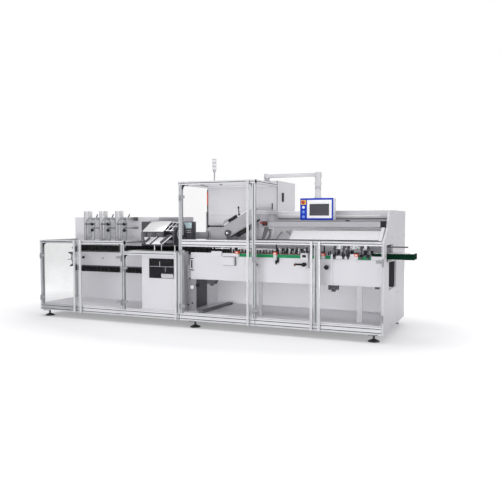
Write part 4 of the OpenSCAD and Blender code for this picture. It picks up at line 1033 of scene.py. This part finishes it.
class CARTONER_OT_outfeed(bpy.types.Operator):
    """Models the pulley caps of the outfeed and the screws of the end panel"""

    bl_idname = "cartoner.outfeed"
    bl_label = "Outfeed"

    def execute(self, context):
        low, high = reach("outfeed_belts")
        cap = turned([(24, 0), (24, 4), (14.4, 6)])
        places = [(x, y, high.z - 1) for x in (low.x + 32, high.x - 32) for y in (222, 362)]
        fit("outfeed_caps", repeated(cap, places), "hinge_steel", "polished_steel")
        right = reach("end_panel")[1].x
        screws = [(right, y, z) for z in (130, 440, 1080, 1340) for y in (430, 860, 1320)]
        screws += [(right, 30, z) for z in (130, 440)]
        fit("end_screws", screw_heads(6, screws, "right"), "hinge_steel")
        return {"FINISHED"}


# Where the infeed cabinet steps down towards the tower
CABINET_STEP = 1780

# Cabinets with doors at the back: node, number of doors and height of their latches
BACK_DOORS = (("lower_cabinet", 4, 500), ("rear_housing", 3, 1090), ("infeed_cabinet", 3, 620))


class CARTONER_OT_cabinet_backs(bpy.types.Operator):
    """Models the latches, hinges and louvres at the cabinets' backs, and the infeed cabinet's front strips"""

    bl_idname = "cartoner.cabinet_backs"
    bl_label = "Cabinet backs"

    def execute(self, context):
        latches, hinges, louvres = [], [], []
        pitch = context.scene.cartoner_fittings.louvre / MM
        for node, doors, latch_z in BACK_DOORS:
            low, high = reach(node)
            step = (CABINET_STEP if node == "infeed_cabinet" else high.x - low.x) / doors
            for i in range(doors):
                left = low.x + i * step
                latches.append((left + step - 55, high.y, latch_z))
                hinges += [(left + 35, high.y, z) for z in (low.z + 120, min(high.z, low.z + 840) - 120)]
                if node == "lower_cabinet":
                    louvres += [(left + step / 2, high.y, low.z + 120 + k * pitch) for k in range(8)]
        latch = joined([loose(-16, 16, 0, 6, -55, 55, 4), loose(-8, 8, 5, 16, -42, 30, 4)])
        fit("cabinet_latches", repeated(latch, latches), "black_plastic")
        hinge = joined([loose(-12, 12, 0, 5, -30, 30), turned([(5, -30), (5, 30)], near(0, 5, 0), "up", 12)])
        fit("cabinet_hinges", repeated(hinge, hinges), "hinge_steel")
        # Black strip and dark upper edge on the front of the infeed cabinet
        top = reach("infeed_cabinet")[1].z
        fit_blocks((
            ("cabinet_front_strip", "black_plastic", "", (945, 1065, 690, 700.5, 1258, 1304, 2)),
            ("cabinet_edge", "bracket_grey", "",
             (1400, CABINET_STEP - 2, 696, 700.5, top - 43, top - 1, 2)),
        ))
        # Louvres pressed into the lower doors
        louvre = loose(-90, 90, 0, 10, 0, 12, 4)
        pick(louvre, "faces", lambda face: face.normal.z < -0.9)
        shift_picked(0, 0, 4)
        fit("cabinet_louvres", repeated(louvre, louvres), "light_grey_paint")
        return {"FINISHED"}


class CARTONER_OT_lamp_and_arm(bpy.types.Operator):
    """Models the lenses and cap of the signal lamp, and the seams and covers of the operator arm's knuckles"""

    bl_idname = "cartoner.lamp_and_arm"
    bl_label = "Signal lamp and arm"

    def execute(self, context):
        low, high = reach("stack_light")
        x, y, _ = (low + high) / 2
        ribs = [(26.6 if i % 2 else 26.2, 4 * i) for i in range(9)]
        lens = turned([*ribs, (25.5, 38)], sides=28)
        lenses = repeated(lens, [(x, y, high.z - 42.5 - 46 * i) for i in range(3)])
        fit("lamp_lenses", lenses, "lamp_white")
        top = turned([(26.5, 0), (26.5, 2), (18, 5), (6, 6)], spot(x, y, high.z - 1), "up", 28)
        fit("lamp_cap", top, "lamp_white", "plate_paint")
        arm_top = reach("panel_arm")[1].z
        seams, covers = [], []
        for x, radius in ((3064, 36), (3682, 40)):
            seams.append(turned([(radius + 1, 0), (radius + 1, 3)], spot(x, 400, 1752), "up", 40))
            steps = [(radius * share, height) for share, height in ((0.96, 0), (0.96, 2), (0.8, 6), (0.3, 8))]
            covers.append(turned(steps, spot(x, 400, arm_top - 1), "up", 40))
        fit("arm_seams", seams, "bracket_grey", "", "panel_arm")
        fit("arm_covers", covers, "light_grey_paint", "white_enamel", "panel_arm")
        return {"FINISHED"}


# The stage is in metres, from the middle of the machine. Lamps: property, width and height, and place. The
# lamps aim at the middle of the machine, and those in front don't show in its bright parts.
LAMPS = (
    ("key", (7.0, 3.5), (0.0, -8.5, 2.6)),
    ("low", (6.0, 0.8), (1.0, -7.5, 0.5)),
    ("side", (3.0, 3.0), (10.0, -2.0, 4.2)),
    ("top", (6.0, 3.0), (0.0, -0.5, 6.5)),
    ("back", (6.0, 3.0), (-1.0, 7.5, 4.0)),
)
LAMP_AIM = Vector((0.0, 0.0, 0.7))
FRONT_LAMPS = ("key", "low")

# The camera fitted to the photo's view: place, tilt down and turn in degrees, lens and sensor in mm
CAMERA_PLACE = (3.2085, -6.581, 1.247)
CAMERA_DOWN, CAMERA_TURN = 2.81, 23.49
CAMERA_LENS, CAMERA_SENSOR = 41.87, 36

FLOOR_SIZE = 80


class CARTONER_OT_stage(bpy.types.Operator):
    """Makes the floor, the lamps, the room light and the camera"""

    bl_idname = "cartoner.stage"
    bl_label = "Stage"

    def execute(self, context):
        stage = context.scene.cartoner_stage
        deselect()
        bpy.ops.mesh.primitive_plane_add(size=FLOOR_SIZE, location=(0, 0, 0))
        floor = bpy.context.object
        floor.name = "studio_floor"
        floor.data.materials.append(studio_floor())
        for name, size, place in LAMPS:
            bpy.ops.object.light_add(type="AREA", location=place)
            lamp = bpy.context.object
            lamp.name = name + "_lamp"
            lamp.data.energy = getattr(stage, name)
            lamp.data.shape = "RECTANGLE"
            lamp.data.size, lamp.data.size_y = size
            lamp.rotation_euler = (LAMP_AIM - Vector(place)).to_track_quat("-Z", "Y").to_euler()
            lamp.visible_camera = False
            lamp.visible_glossy = name not in FRONT_LAMPS
        room_light(context.scene, stage.sky)
        bpy.ops.object.camera_add(
            location=CAMERA_PLACE, rotation=(math.radians(90 - CAMERA_DOWN), 0, math.radians(CAMERA_TURN)))
        camera = bpy.context.object
        camera.name = "photo_camera"
        camera.data.lens, camera.data.sensor_width = CAMERA_LENS, CAMERA_SENSOR
        context.scene.camera = camera
        context.scene.view_settings.view_transform = "Standard"
        return {"FINISHED"}


def seen_directly(tree):
    """Is 1 for what the camera sees directly, in a mirror or through glass, and 0 for light on the machine."""
    path = add(tree, "ShaderNodeLightPath").outputs
    mirrored = add(tree, "ShaderNodeMath", {"operation": "MAXIMUM"}, {
        0: path["Is Camera Ray"], 1: path["Is Glossy Ray"]})
    return add(tree, "ShaderNodeMath", {"operation": "MAXIMUM"}, {
        0: mirrored.outputs["Value"], 1: path["Is Transmission Ray"]}).outputs["Value"]


def studio_floor():
    """Pale studio floor: white to the eye and grey in the machine's shadow, fading into the backdrop."""
    material, tree, place = blank("studio_floor")
    long = add(tree, "ShaderNodeMapping", None, {"Vector": place, "Scale": (1, 1.7, 1)})
    away = add(tree, "ShaderNodeVectorMath", {"operation": "LENGTH"}, {0: long.outputs["Vector"]})
    glow = add(tree, "ShaderNodeMapRange", None, {
        "Value": away.outputs["Value"], "From Min": 2.6, "From Max": 5.0, "To Min": 0.26, "To Max": 0.72})
    strength = add(tree, "ShaderNodeMath", {"operation": "MULTIPLY"}, {
        0: glow.outputs["Result"], 1: seen_directly(tree)})
    white = add(tree, "ShaderNodeEmission", None, {"Strength": strength.outputs["Value"]})
    lit = add(tree, "ShaderNodeBsdfDiffuse", None, {"Color": (*linear("#d8d8da"), 1)})
    both = add(tree, "ShaderNodeAddShader", None, {0: lit.outputs["BSDF"], 1: white.outputs["Emission"]})
    add(tree, "ShaderNodeOutputMaterial", None, {"Surface": both.outputs["Shader"]})
    return material


def room_light(scene, strength):
    """White backdrop for the eye, and an even soft light on the machine."""
    scene.world = bpy.data.worlds.new("studio_room")
    scene.world.use_nodes = True
    tree = scene.world.node_tree
    tree.nodes.clear()
    level = add(tree, "ShaderNodeMapRange", None, {
        "Value": seen_directly(tree), "To Min": strength, "To Max": 1.0})
    room = add(tree, "ShaderNodeBackground", None, {
        "Color": (1, 1, 1, 1), "Strength": level.outputs["Result"]})
    add(tree, "ShaderNodeOutputWorld", None, {"Surface": room.outputs["Background"]})


STEPS = (
    CARTONER_OT_finishes,
    CARTONER_OT_operator_panel,
    CARTONER_OT_guard_fittings,
    CARTONER_OT_bucket_conveyor,
    CARTONER_OT_magazines,
    CARTONER_OT_folder,
    CARTONER_OT_bed,
    CARTONER_OT_carton_magazine,
    CARTONER_OT_hood_fittings,
    CARTONER_OT_outfeed,
    CARTONER_OT_cabinet_backs,
    CARTONER_OT_lamp_and_arm,
    CARTONER_OT_stage,
)


class CARTONER_PT_panel(bpy.types.Panel):
    """Lists the machine's finishes, sizes and steps"""

    bl_idname = "CARTONER_PT_panel"
    bl_label = "Automatic cartoner"
    bl_space_type = "VIEW_3D"
    bl_region_type = "UI"
    bl_category = "Cartoner"

    def draw(self, context):
        for name in GROUPS:
            group = getattr(context.scene, name)
            box = self.layout.box()
            for prop in group.__annotations__:
                box.prop(group, prop)
        for step in STEPS:
            self.layout.operator(step.bl_idname)


GROUPS = {
    "cartoner_finishes": CartonerFinishes,
    "cartoner_fittings": CartonerFittings,
    "cartoner_stage": CartonerStage,
}


def register():
    for name, group in GROUPS.items():
        bpy.utils.register_class(group)
        setattr(bpy.types.Scene, name, bpy.props.PointerProperty(type=group))
    for made in (*STEPS, CARTONER_PT_panel):
        bpy.utils.register_class(made)


def unregister():
    for made in (CARTONER_PT_panel, *reversed(STEPS)):
        bpy.utils.unregister_class(made)
    for name, group in GROUPS.items():
        delattr(bpy.types.Scene, name)
        bpy.utils.unregister_class(group)


def main():
    register()
    for step in STEPS:
        group, name = step.bl_idname.split(".")
        getattr(getattr(bpy.ops, group), name)()


if __name__ == "__main__":
    main()
